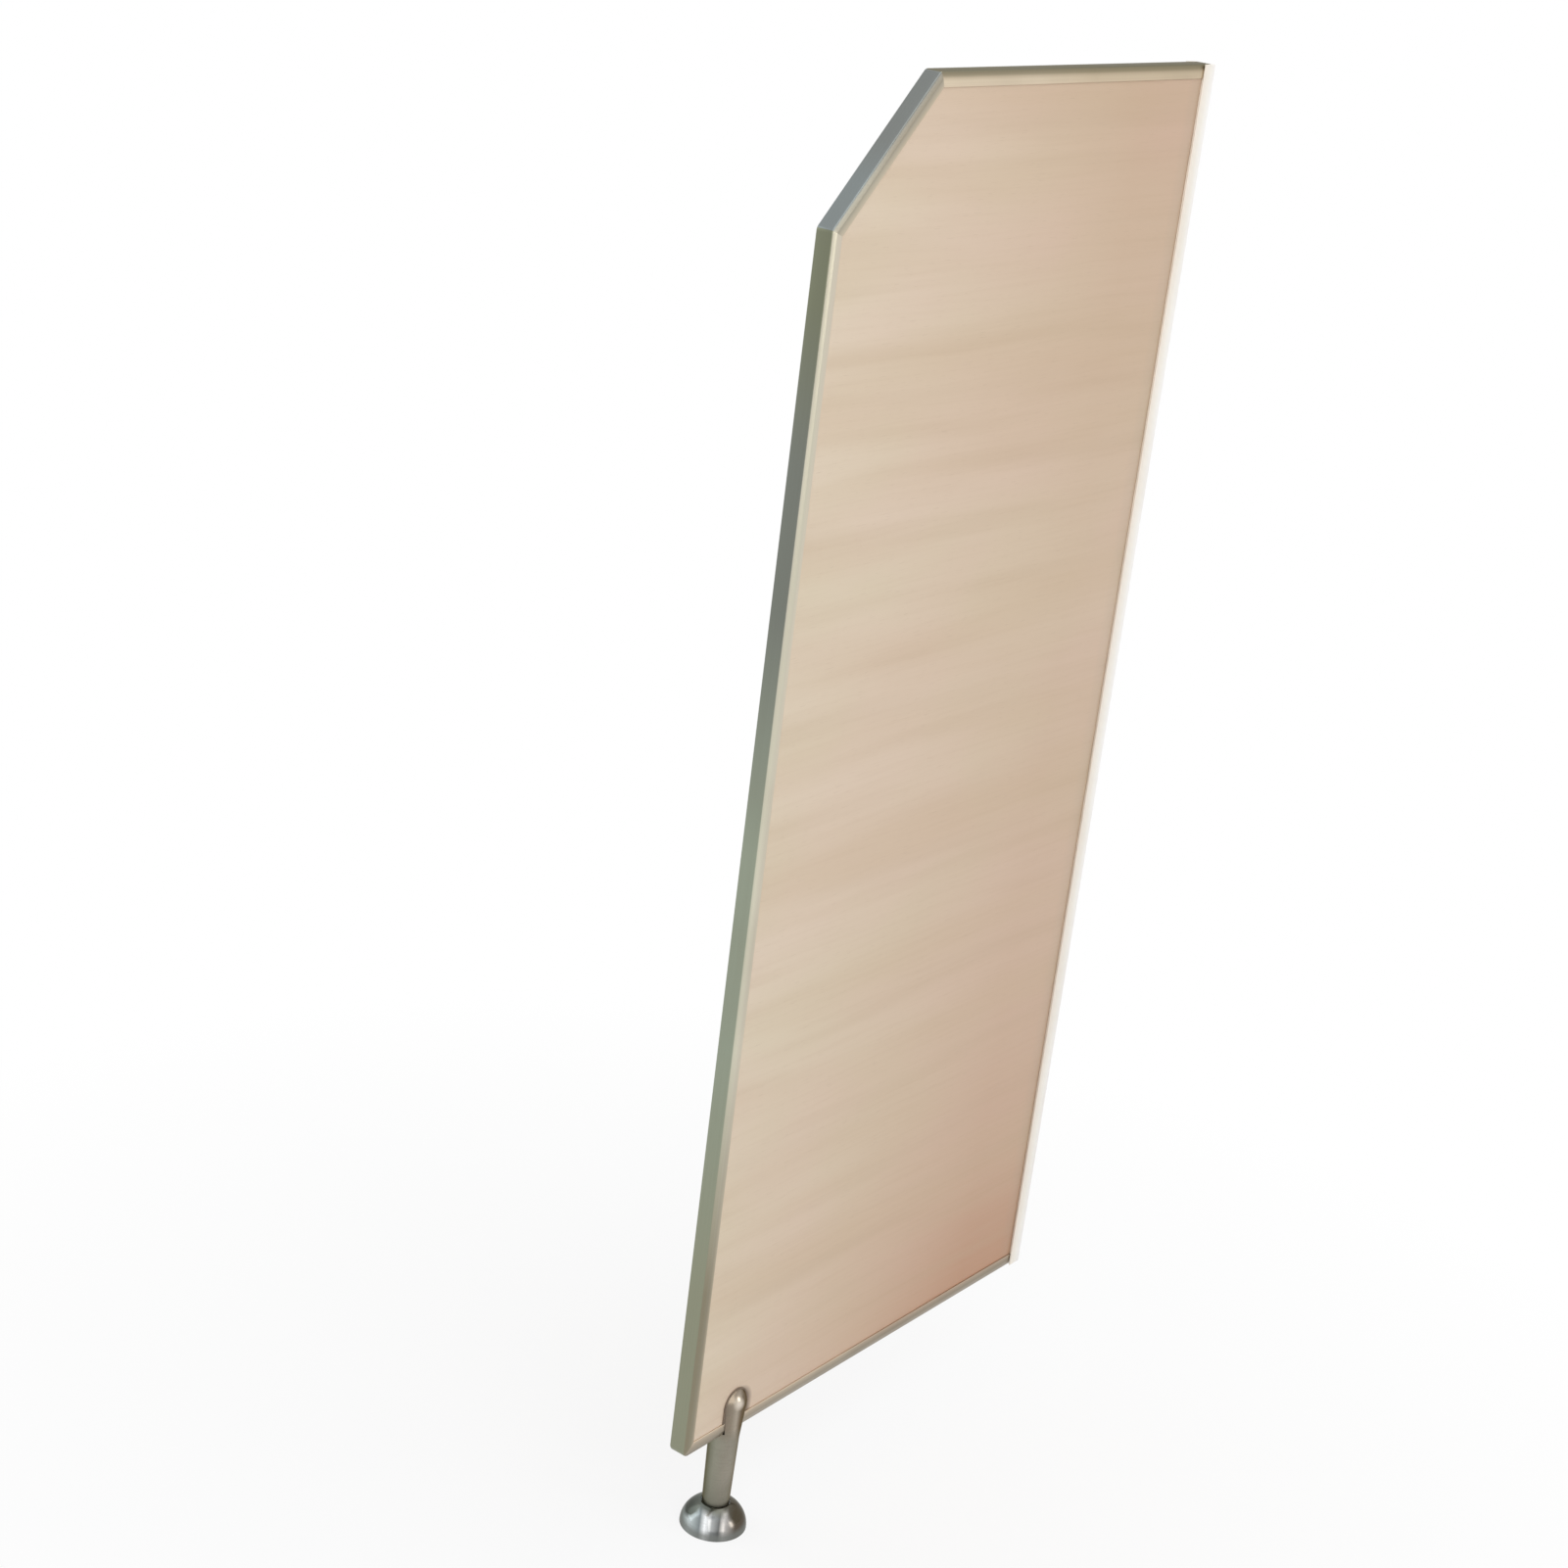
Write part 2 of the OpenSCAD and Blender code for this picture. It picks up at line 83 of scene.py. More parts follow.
# ---- Board --------------------------------------------------------------------------------
# A particle board core with a thin decor laminate glued on each face: a pale maple print whose
# grain runs from the front edge to the wall, under a satin melamine skin. The trim holds it.
class Value:
    """A socket of a node tree. Arithmetic on it adds Math nodes."""

    def __init__(self, graph, socket):
        self.graph = graph
        self.socket = socket

    def math(self, operation, *others, clamp=False):
        return self.graph.add("ShaderNodeMath", {"operation": operation, "use_clamp": clamp},
                              {i: v for i, v in enumerate((self,) + others)})

    def __add__(self, other):
        return self.math("ADD", other)

    def __sub__(self, other):
        return self.math("SUBTRACT", other)

    def __mul__(self, other):
        return self.math("MULTIPLY", other)

    def __truediv__(self, other):
        return self.math("DIVIDE", other)

    def __rsub__(self, other):
        return self.graph.constant(other).math("SUBTRACT", self)

    __radd__ = __add__
    __rmul__ = __mul__


class Graph:
    """A node tree, made by one method that adds a node with its settings and its inputs. A colour
    is given by its three parts."""

    def __init__(self, tree):
        self.tree = tree

    def add(self, kind, settings=None, inputs=None, output=0):
        """A new node's output, or the node itself where it has none."""
        made = self.tree.nodes.new(kind)
        for name, setting in (settings or {}).items():
            if name == "stops":
                ramp = made.color_ramp.elements
                ramp[0].position, ramp[1].position = setting[0][0], setting[-1][0]
                for place, _ in setting[1:-1]:
                    ramp.new(place)
                for stop, (_, colour) in zip(ramp, setting):
                    stop.color = colour + (1.0,)
            else:
                setattr(made, name, setting)
        for name, value in (inputs or {}).items():
            socket = made.inputs[name]
            if isinstance(value, Value):
                self.tree.links.new(value.socket, socket)
            else:
                socket.default_value = value + (1.0,) if socket.type == "RGBA" else value
        return Value(self, made.outputs[output]) if made.outputs else made

    def constant(self, number):
        return self.add("ShaderNodeMath", {"operation": "ADD"}, {0: number, 1: 0.0})


class Finish(Graph):
    """The material of one finish: a Principled surface with its own nodes before it."""

    def __init__(self, name):
        self.material = bpy.data.materials.new(name)
        self.material.use_nodes = True
        super().__init__(self.material.node_tree)
        self.tree.nodes.clear()

    def place(self, scale=(1.0, 1.0, 1.0), turn=(0.0, 0.0, 0.0), shift=(0.0, 0.0, 0.0)):
        """Object coordinates, scaled, turned and shifted."""
        on_object = self.add("ShaderNodeTexCoord", output="Object")
        return self.add("ShaderNodeMapping", None, {
            "Vector": on_object, "Scale": scale, "Rotation": turn, "Location": shift})

    def noise(self, where, scale=1.0, detail=2.0, roughness=0.5):
        return self.add("ShaderNodeTexNoise", {"normalize": True}, {
            "Vector": where, "Scale": scale, "Detail": detail, "Roughness": roughness})

    def spread(self, value, low, high, to_low=0.0, to_high=1.0):
        """The stretch of a value from low to high, drawn out to another and held at its ends."""
        return self.add("ShaderNodeMapRange", {"clamp": True}, {
            "Value": value, "From Min": low, "From Max": high, "To Min": to_low, "To Max": to_high})

    def blend(self, factor, first, second):
        """Colours mixed by a factor; the mix node keeps its float sockets before its colours."""
        return self.add("ShaderNodeMix", {"data_type": "RGBA"},
                        {0: factor, 6: first, 7: second}, output=2)

    def tones(self, value, *stops):
        """Colours along a value, each with the place from 0 to 1 at which it stands."""
        return self.add("ShaderNodeValToRGB", {"stops": stops}, {"Fac": value})

    def marked(self, tone, *marks):
        """A tone with marks on it. Each has the value that it follows, the places on it where the
        mark starts and where it is full, its strength, and its colour."""
        for value, start, full, strength, colour in marks:
            tone = self.blend(self.spread(value, start, full, 0.0, strength), tone, colour)
        return tone

    def axis(self, name, **placing):
        """One of the placed object coordinates."""
        return self.add("ShaderNodeSeparateXYZ", None, {0: self.place(**placing)}, output=name)

    def relief(self, height, strength, distance):
        """A bump for the surface's normal; the distance is in metres."""
        return self.add("ShaderNodeBump", None,
                        {"Height": height, "Strength": strength, "Distance": distance})

    def surface(self, **sockets):
        """The finished material. Each socket is named with underscores for its spaces."""
        shader = self.add("ShaderNodeBsdfPrincipled", None,
                          {name.replace("_", " "): value for name, value in sockets.items()})
        self.add("ShaderNodeOutputMaterial", None, {"Surface": shader})
        return self.material


def maple_decor():
    """Printed maple, all along Y: broad soft bands, streaks, fine fibres and a few short pores.
    The ground drifts between a greenish and a pinkish beige. Towards the wall a painted shade
    turns it redder, most of all low down, with a painted shade along the channel and a painted
    shadow round the foot's ear."""
    low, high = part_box("laminate_right")
    # How far the painted shade beside the channel's lip reaches.
    channel_lip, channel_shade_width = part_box("wall_channel")[0].y, 0.020
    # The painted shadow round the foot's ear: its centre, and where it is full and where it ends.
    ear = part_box("clamp_pads")[1]
    ear_shadow_y, ear_shadow_z = 0.0060, ear.z - ear.y - 0.0035
    ear_shadow_full, ear_shadow_end = 0.0125, 0.0185
    decor = Finish("maple_decor")
    wander, tilt = 0.04, 0.01
    bend = decor.noise(decor.place((1.0, 1.1, 1.4)), 1.0, 2.0)
    bent = decor.add("ShaderNodeVectorMath", {"operation": "MULTIPLY_ADD"}, {
        0: bend, 1: (0.0, 0.0, wander), 2: decor.place(turn=(tilt, 0.0, 0.0))})

    def grain(along, across, detail, roughness=0.5):
        """Noise drawn out along the grain: how often it changes in a metre, along and across."""
        return decor.noise(decor.add("ShaderNodeMapping", None, {
            "Vector": bent, "Scale": (1.0, along, across)}), 1.0, detail, roughness)

    band, streak = grain(1.1, 13.0, 2.0), grain(1.8, 34.0, 2.0, 0.4)
    fibre, pore = grain(7.0, 260.0, 3.0, 0.6), grain(60.0, 1500.0, 1.0)
    hue = decor.noise(decor.place((1.0, 4.0, 8.0), shift=(0.0, 3.1, 0.7)), 1.0, 2.0)
    # Painted shade: the board darkens to a red-brown towards the wall, most of all low down.
    wall_shade_start, wall_shade_full = -0.05, 0.35
    to_wall = decor.spread(decor.axis("Y"), wall_shade_start, wall_shade_full)
    wall_shade_by_height = decor.tones(decor.spread(decor.axis("Z"), low.z, high.z),
                       (0.0, (1.00, 1.00, 1.00)), (0.13, (0.62, 0.62, 0.62)),
                       (0.30, (0.46, 0.46, 0.46)), (0.60, (0.31, 0.31, 0.31)),
                       (1.0, (0.54, 0.54, 0.54)))
    greenish, pinkish, wall_shade_red = (0.716, 0.614, 0.464), (0.736, 0.608, 0.480), (0.508, 0.280, 0.168)
    wood = decor.blend(decor.spread(hue, 0.38, 0.62), greenish, pinkish)
    wood = decor.blend(to_wall * wall_shade_by_height, wood, wall_shade_red)
    above = (decor.axis("Z") - ear_shadow_z).math("MAXIMUM", 0.0)
    beside = decor.axis("Y") - ear_shadow_y
    from_ear = (beside * beside + above * above).math("SQRT")
    wood = decor.marked(
        wood,
        (band, 0.44, 0.66, 0.40, (0.590, 0.435, 0.288)),
        (streak, 0.50, 0.74, 0.26, (0.520, 0.375, 0.242)),
        (fibre, 0.48, 0.74, 0.07, (0.480, 0.340, 0.225)),
        (pore, 0.66, 0.74, 0.20, (0.420, 0.290, 0.190)),
        # Painted shade along the channel's lip.
        (decor.axis("Y"), channel_lip - channel_shade_width, channel_lip, 0.18, (0.340, 0.350, 0.300)),
        # Painted shadow of the foot's ear on the board.
        (from_ear, ear_shadow_end, ear_shadow_full, 0.85, (0.130, 0.082, 0.050)))
    return decor.surface(
        Base_Color=wood, Roughness=decor.spread(fibre, 0.3, 0.7, 0.40, 0.52),
        Normal=decor.relief(fibre, 0.25, 0.0001), IOR=1.5)


def particle_core():
    """Pressed wood particles, with flakes of a few millimetres."""
    core = Finish("particle_core")
    flake = core.add("ShaderNodeTexVoronoi", {"feature": "F1"}, {
        "Vector": core.place((1.0, 0.6, 1.6)), "Scale": 420.0}, output="Color")
    speck = core.noise(core.place(), 900.0, 2.0)
    board = core.blend(core.add("ShaderNodeSeparateColor", None, {"Color": flake}),
                       (0.500, 0.370, 0.235), (0.660, 0.520, 0.350))
    return core.surface(
        Base_Color=core.marked(board, (speck, 0.5, 0.7, 0.5, (0.330, 0.225, 0.130))),
        Roughness=0.85, Normal=core.relief(speck, 0.4, 0.0003))


def coat(piece, material):
    """Gives a piece one material in place of any that it has."""
    piece.data.materials.clear()
    piece.data.materials.append(material)


decor = maple_decor()
for face in ("laminate_right", "laminate_left"):
    coat(node[face], decor)
coat(node["panel_core"], particle_core())

# ---- Edge trims ---------------------------------------------------------------------------
# Five lengths of a hollow-nosed aluminium section, pressed over the board's edges: two flanges,
# a narrower nose and a web. Each end is cut on the bisector of its corner and bent half round it.
class Maker(Graph):
    """A geometry tree with named inputs. It turns a starting mesh into a finished plain one."""

    def __init__(self, name, **inputs):
        super().__init__(bpy.data.node_groups.new(name, "GeometryNodeTree"))
        sockets = self.tree.interface
        for label, kind in {"Start": "Geometry", **inputs, "Material": "Material"}.items():
            sockets.new_socket(label.replace("_", " "), in_out="INPUT",
                               socket_type="NodeSocket" + kind)
        sockets.new_socket("Made", in_out="OUTPUT", socket_type="NodeSocketGeometry")
        entry = self.tree.nodes.new("NodeGroupInput")
        self.given = {socket.name: Value(self, socket) for socket in entry.outputs}

    def end(self, geometry):
        """Makes what is there real, gives it its material and puts it out of the tree."""
        real = self.add("GeometryNodeRealizeInstances", None, {"Geometry": geometry})
        dressed = self.add("GeometryNodeSetMaterial", None, {
            "Geometry": real, "Material": self.given["Material"]})
        self.add("NodeGroupOutput", None, {"Made": dressed})

    def make(self, start, **sizes):
        """The plain mesh that the tree makes of a starting mesh at the given sizes."""
        bench = in_scene(start.name, start)
        step = bench.modifiers.new(start.name, "NODES")
        step.node_group = self.tree
        for socket in self.tree.interface.items_tree:
            if socket.name.replace(" ", "_") in sizes:
                step[socket.identifier] = sizes[socket.name.replace(" ", "_")]
        return taken(bench)


def taken(bench):
    """The mesh of an object as its modifiers leave it. The object itself is cleared away."""
    graph = bpy.context.evaluated_depsgraph_get()
    made = bpy.data.meshes.new_from_object(bench.evaluated_get(graph), depsgraph=graph,
                                           preserve_all_data_layers=True)
    bench.modifiers.clear()
    bpy.data.objects.remove(bench)
    return made


def edge_trim():
    """A section carried along one edge of the panel. The starting mesh holds its points: X is
    inwards from the edge and Y across the panel. A point further in than the bend's radius goes
    straight to the bisector."""
    trim = Maker("edge_trim", Run="Float", Start_Turn="Float", End_Turn="Float",
                 Start_Bend="Float", End_Bend="Float", Bend_Steps="Int", Weld="Float")
    run, steps = trim.given["Run"], trim.given["Bend Steps"]
    points = trim.add("GeometryNodeAttributeDomainSize", {"component": "MESH"},
                      {"Geometry": trim.given["Start"]})
    sheet = trim.add("GeometryNodeMeshGrid", None, {
        "Vertices X": (steps + 1) * 2, "Vertices Y": points + 1})
    index = trim.add("GeometryNodeInputIndex")
    station = (index / (points + 1)).math("FLOOR")
    highlight_reach = trim.add("GeometryNodeSampleIndex", {"data_type": "FLOAT_VECTOR", "domain": "POINT"}, {
        "Geometry": trim.given["Start"], "Value": trim.add("GeometryNodeInputPosition"),
        "Index": index.math("MODULO", points + 1).math("MODULO", points)})
    depth, across = (trim.add("ShaderNodeSeparateXYZ", None, {0: highlight_reach}, output=axis)
                     for axis in ("X", "Y"))
    late = station.math("GREATER_THAN", steps)
    early = 1 - late
    swept = late * (station - steps - 1) / steps + early * (steps - station) / steps
    half = (late * trim.given["End Turn"] + early * trim.given["Start Turn"]) / 2
    bend = late * trim.given["End Bend"] + early * trim.given["Start Bend"]
    around, slope, angle = bend - depth, half.math("TANGENT"), half * swept
    mitred = around.math("LESS_THAN", 0.0)
    bent = 1 - mitred
    along = mitred * depth * slope + bent * (bend * slope - around * angle.math("SINE"))
    along = late * (run - along) + early * along
    inwards = mitred * depth + bent * (bend - around * angle.math("COSINE"))
    placed = trim.add("GeometryNodeSetPosition", None, {
        "Geometry": sheet, "Position": trim.add("ShaderNodeCombineXYZ", None, {
            "X": along, "Y": inwards, "Z": across})})
    for name, value in (("along", along), ("inwards", depth)):
        placed = trim.add("GeometryNodeStoreNamedAttribute",
                          {"data_type": "FLOAT", "domain": "POINT"},
                          {"Geometry": placed, "Name": name, "Value": value})
    trim.end(trim.add("GeometryNodeMergeByDistance", None, {
        "Geometry": placed, "Distance": trim.given["Weld"]}))
    return trim


def rounded(corners, radii, steps=4, most=0.45):
    """A closed outline whose corners are arcs, each with its own radius. An arc takes up no more
    than a given share of a side."""
    outline = []
    for i, radius in enumerate(radii):
        corner = Vector(corners[i])
        back, on = Vector(corners[i - 1]) - corner, Vector(corners[(i + 1) % len(corners)]) - corner
        half = back.angle(on) / 2
        reach = min(radius / math.tan(half), most * back.length, most * on.length)
        if reach == 0:
            outline.append(corner)
            continue
        first, last = corner + back.normalized() * reach, corner + on.normalized() * reach
        centre = corner + (back.normalized() + on.normalized()).normalized() * reach / math.cos(half)
        arc = (first - centre).length
        outline += [centre + (first - centre).slerp(last - centre, step / steps) * arc
                    for step in range(steps + 1)]
    return outline


def closed(mesh, sharp=30.0, cut_edge=0.0, weld=2e-6):
    """Merges the mesh's doubles, caps its open ends and breaks the caps' edges, turns its faces
    outwards, and shades it with its sharp corners."""
    work = bmesh.new()
    work.from_mesh(mesh)
    bmesh.ops.remove_doubles(work, verts=work.verts, dist=weld)
    caps = bmesh.ops.holes_fill(work, edges=[e for e in work.edges if e.is_boundary])["faces"]
    if caps and cut_edge:
        bmesh.ops.bevel(work, geom=list({e for cap in caps for e in cap.edges}),
                        offset=cut_edge, segments=1, affect="EDGES", clamp_overlap=True)
    bmesh.ops.recalc_face_normals(work, faces=work.faces)
    work.to_mesh(mesh)
    work.free()
    mesh.shade_smooth()
    mesh.set_sharp_from_angle(angle=math.radians(sharp))
    return mesh


def moved(mesh, *steps):
    """The mesh after a row of matrices, the last of them applied first."""
    whole = Matrix.Identity(4)
    for step in steps:
        whole = whole @ step
    mesh.transform(whole)
    return mesh


def fitted(name, mesh, material, replaced):
    """Puts a finished mesh on the body of the node that it stands for."""
    piece = in_scene(name, mesh)
    coat(piece, material)
    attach(piece, node[replaced]["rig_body"])
    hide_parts(replaced)
    return piece


def anodised(name, first, *further, axis="Z", grazing=(1.0, 1.0, 1.0)):
    """Satin anodised extrusion, with die lines along its run and an olive bloom where hands and
    mops have worn it. Its tones, painted reflections and shade, go from the web over the nose to
    the flange's rim, and each set further along comes in between two places on the axis. A
    grazing tint dulls its low glare."""
    satin = Finish(name)
    along = satin.add("ShaderNodeAttribute", {"attribute_name": "along"}, output="Fac")
    inwards = satin.add("ShaderNodeAttribute", {"attribute_name": "inwards"}, output="Fac")
    die = satin.noise(satin.add("ShaderNodeCombineXYZ", None, {
        "X": along * drawn_out, "Y": inwards * die_lines, "Z": satin.axis("X") * die_lines}),
        1.0, 3.0, 0.6)
    cloud = satin.noise(satin.place(), 9.0, 3.0)
    section = satin.spread(inwards, 0.0, trim_width)
    # Painted reflections and shade across the section.
    tone = satin.tones(section, *first)
    for start, end, tones in further:
        tone = satin.blend(satin.spread(satin.axis(axis), start, end), tone,
                           satin.tones(section, *tones))
    worn = satin.marked(tone, (die, 0.40, 0.75, 0.12, (0.130, 0.120, 0.085)),
                        (cloud, 0.50, 0.75, 0.18, (0.230, 0.210, 0.155)))
    return satin.surface(Base_Color=worn, Metallic=1.0, Specular_Tint=grazing,
                         Roughness=satin.spread(cloud, 0.3, 0.7, 0.30, 0.42),
                         Normal=satin.relief(die, 0.20, 0.00005))


right_angle, cut_angle = math.radians(90.0), math.radians(45.0)
nose_depth, nose_bevel, web_wall, flange_wall = 0.005, 0.0012, 0.0012, 0.001
lower_bend, upper_bend, bend_steps, mitre_break, point_weld = 0.008, 0.006, 10, 0.00012, 1e-6
die_lines, drawn_out = 2600.0, 5.0
trim_low, trim_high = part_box("rear_trim")
flange_face, trim_width = trim_high.x, trim_high.y - trim_low.y
nose_face = flange_face - nose_bevel
front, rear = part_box("front_trim")[0].y, trim_high.y
bottom, top = trim_low.z, trim_high.z
cut = (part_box("top_trim")[0].y - front
       - upper_bend * (math.tan(cut_angle / 2) - math.sin(cut_angle / 2)))
# Each corner of the section: its depth from the edge, its half width and its radius.
half_section = ((0.0, nose_face, 0.0009), (nose_depth, flange_face, 0.0015),
                (trim_width, flange_face, 0.0004), (trim_width, flange_face - flange_wall, 0.0002),
                (nose_depth, flange_face - flange_wall, 0.0005),
                (web_wall, nose_face - flange_wall, 0.0004))
section_corners = [(x, y) for x, y, _ in half_section]
section_corners += [(x, -y) for x, y, _ in reversed(half_section)]
section_radii = [r for _, _, r in half_section] + [r for _, _, r in reversed(half_section)]
section = rounded(section_corners, section_radii)
# Each length: its start in Y and Z, its heading in degrees, its run, and the turn and the bend's
# radius at either end.
trims = (
    ("front_trim", (front, bottom), 90, top - bottom - cut, (right_angle, cut_angle),
     (lower_bend, upper_bend)),
    ("corner_trim", (front, top - cut), 45, cut * math.sqrt(2), (cut_angle, cut_angle),
     (upper_bend, upper_bend)),
    ("top_trim", (front + cut, top), 0, rear - front - cut, (cut_angle, right_angle),
     (upper_bend, 0.0)),
    ("rear_trim", (rear, top), -90, top - bottom, (right_angle, right_angle), (0.0, 0.0)),
    ("bottom_trim", (rear, bottom), 180, rear - front, (right_angle, right_angle),
     (0.0, lower_bend)))
# The tones across each trim's section are painted reflections and shade: a dark web, a paler nose and
# a bright flange, each length with its own, changing along its run.
olive, pale_reflection_tone, warm_reflection_tone = (0.270, 0.242, 0.170), (0.600, 0.570, 0.455), (0.665, 0.635, 0.510)
middle_reflection_tones = ((0.03, (0.305, 0.342, 0.265)), (0.10, (0.620, 0.605, 0.480)), (0.30, warm_reflection_tone),
                (0.70, (0.620, 0.575, 0.465)), (1.0, (0.640, 0.570, 0.455)))
satins = {
    "front_trim": anodised(
        "front_satin",
        ((0.03, (0.285, 0.295, 0.212)), (0.09, olive), (0.65, olive), (1.0, (0.430, 0.370, 0.270))),
        (0.26, 0.49, middle_reflection_tones),
        (0.66, 0.86, ((0.03, (0.192, 0.205, 0.178)), (0.06, (0.550, 0.520, 0.425)), (0.25, pale_reflection_tone),
                      (0.55, pale_reflection_tone), (1.0, (0.660, 0.590, 0.480)))),
        (0.98, 1.10, ((0.03, (0.192, 0.203, 0.140)), (0.06, (0.385, 0.365, 0.295)),
                      (0.30, (0.545, 0.515, 0.410)), (0.45, (0.620, 0.575, 0.465)),
                      (1.0, (0.645, 0.570, 0.465))))),
    "corner_trim": anodised(
        "cut_corner_satin",
        ((0.03, (0.222, 0.248, 0.248)), (0.12, (0.380, 0.370, 0.315)), (0.42, (0.375, 0.345, 0.275)),
         (0.55, (0.430, 0.395, 0.310)), (1.0, (0.610, 0.530, 0.405))),
        (1.19, 1.22, ((0.03, (0.205, 0.218, 0.210)), (0.12, (0.340, 0.322, 0.272)),
                      (0.42, (0.330, 0.292, 0.228)), (0.55, (0.400, 0.360, 0.285)),
                      (1.0, (0.580, 0.495, 0.370))))),
    "top_trim": anodised(
        "top_satin",
        ((0.03, (0.260, 0.245, 0.180)), (0.10, (0.280, 0.245, 0.170)), (0.28, (0.370, 0.320, 0.228)),
         (0.45, (0.640, 0.540, 0.405)), (0.60, (0.740, 0.635, 0.485)), (1.0, (0.770, 0.650, 0.500))),
        (0.18, 0.26, ((0.03, (0.245, 0.228, 0.165)), (0.10, (0.280, 0.245, 0.168)),
                      (0.28, (0.340, 0.292, 0.200)), (0.45, (0.555, 0.460, 0.335)),
                      (0.60, (0.650, 0.545, 0.400)), (1.0, (0.700, 0.580, 0.430)))),
        axis="Y", grazing=(0.42, 0.40, 0.36)),
    "rear_trim": anodised("rear_satin", ((0.80, warm_reflection_tone), (0.98, (0.930, 0.880, 0.800)))),
    "bottom_trim": anodised(
        "bottom_satin",
        ((0.10, (0.360, 0.315, 0.245)), (0.50, (0.360, 0.310, 0.240)), (0.75, (0.440, 0.370, 0.285)),
         (1.0, (0.620, 0.510, 0.390))),
        (0.16, 0.22, ((0.10, (0.335, 0.285, 0.215)), (0.60, (0.310, 0.255, 0.190)),
                      (1.0, (0.480, 0.375, 0.280)))),
        axis="Y")}
trim_maker = edge_trim()
bent_trims = {}
for name, (y, z), heading, run, turns, bends in trims:
    points = bpy.data.meshes.new(name)
    points.from_pydata([(x, across, 0.0) for x, across in section], [], [])
    satin = satins[name]
    length = trim_maker.make(points, Run=run, Start_Turn=turns[0], End_Turn=turns[1],
                             Start_Bend=bends[0], End_Bend=bends[1], Bend_Steps=bend_steps,
                             Weld=point_weld, Material=satin)
    moved(length, Matrix.Translation((0, y, z)), Matrix.Rotation(math.radians(heading), 4, "X"),
          Matrix.Rotation(right_angle, 4, "Z"), Matrix.Rotation(-right_angle, 4, "X"))
    bent_trims[name] = fitted(name + "_bent", closed(length, cut_edge=mitre_break), satin,
                              name)

# ---- Corner keys --------------------------------------------------------------------------
# Flat steel strips bent to the corners, pushed into the hollow noses of the two trims that meet.
# They are zinc plated.
def zinc_plate():
    """Bright zinc with the crystals of its plating, dull in a few places."""
    zinc = Finish("zinc_plate")
    crystal = zinc.add("ShaderNodeTexVoronoi", {"feature": "F1"}, {
        "Vector": zinc.place(), "Scale": 450.0}, output="Color")
    cloud = zinc.noise(zinc.place(), 60.0, 3.0)
    tone = zinc.blend(crystal, (0.520, 0.530, 0.545), (0.610, 0.615, 0.620))
    return zinc.surface(
        Base_Color=zinc.marked(tone, (cloud, 0.45, 0.75, 0.5, (0.430, 0.430, 0.420))),
        Metallic=1.0, Roughness=zinc.spread(cloud, 0.3, 0.7, 0.30, 0.48),
        Normal=zinc.relief(cloud, 0.15, 0.0001))


plating = zinc_plate()
for key in ("lower_key", "cut_corner_keys", "rear_keys"):
    coat(node[key], plating)

# ---- Wall channel -------------------------------------------------------------------------
# An extruded aluminium channel, screwed to the wall. The panel's rear edge stands in it, and
# the trim inside is drilled with it. Its satin anodising is clear and a warm white, with a painted
# reflection that brightens it towards the wall.
def closed_work(name, work):
    """The closed mesh of what has been made in a bmesh."""
    mesh = bpy.data.meshes.new(name)
    work.to_mesh(mesh)
    work.free()
    return closed(mesh)


def extruded(name, outline, low, high):
    """A bar of a closed outline in X and Y, from one height to another."""
    work = bmesh.new()
    ends = [[work.verts.new((x, y, z)) for x, y in outline] for z in (low, high)]
    for i in range(len(outline)):
        work.faces.new((ends[0][i - 1], ends[0][i], ends[1][i], ends[1][i - 1]))
    for end in ends:
        work.faces.new(end)
    return closed_work(name, work)


def turned(name, outline, sides=96, ring=False):
    """A mesh turned about Z from points of radius and height. A radius of zero is a pole, and
    the outline of a ring meets its own start."""
    work = bmesh.new()
    rows = [[work.verts.new((0.0, 0.0, z))] if r == 0 else
            [work.verts.new((r * math.cos(2 * math.pi * i / sides),
                             r * math.sin(2 * math.pi * i / sides), z)) for i in range(sides)]
            for r, z in outline]
    for low, high in zip(rows, rows[1:] + rows[:1] if ring else rows[1:]):
        for i in range(sides):
            j = (i + 1) % sides
            corners = (low[i % len(low)], low[j % len(low)], high[j % len(high)], high[i % len(high)])
            if len(set(corners)) > 2:
                work.faces.new(dict.fromkeys(corners))
    return closed_work(name, work)


def machined(mesh, cutters, edge=0.0, sharp=30.0):
    """The mesh with each cutting mesh taken out of it, and its sharp edges broken."""
    bench = in_scene(mesh.name, mesh)
    tools = [in_scene("cutter", cutter) for cutter in cutters]
    for tool in tools:
        cut_out = bench.modifiers.new("cut_out", "BOOLEAN")
        cut_out.operation, cut_out.solver, cut_out.object = "DIFFERENCE", "EXACT", tool
    if edge:
        ease = bench.modifiers.new("ease", "BEVEL")
        ease.width, ease.segments, ease.limit_method = edge, 3, "ANGLE"
        ease.angle_limit, ease.use_clamp_overlap = math.radians(sharp), True
    made = taken(bench)
    for tool in tools:
        bpy.data.objects.remove(tool)
    return closed(made, sharp)


def drill(radius, length, sides=32):
    """A round cutter along Z, from the origin."""
    return turned("drill", ((0.0, 0.0), (radius, 0.0), (radius, length), (0.0, length)), sides)


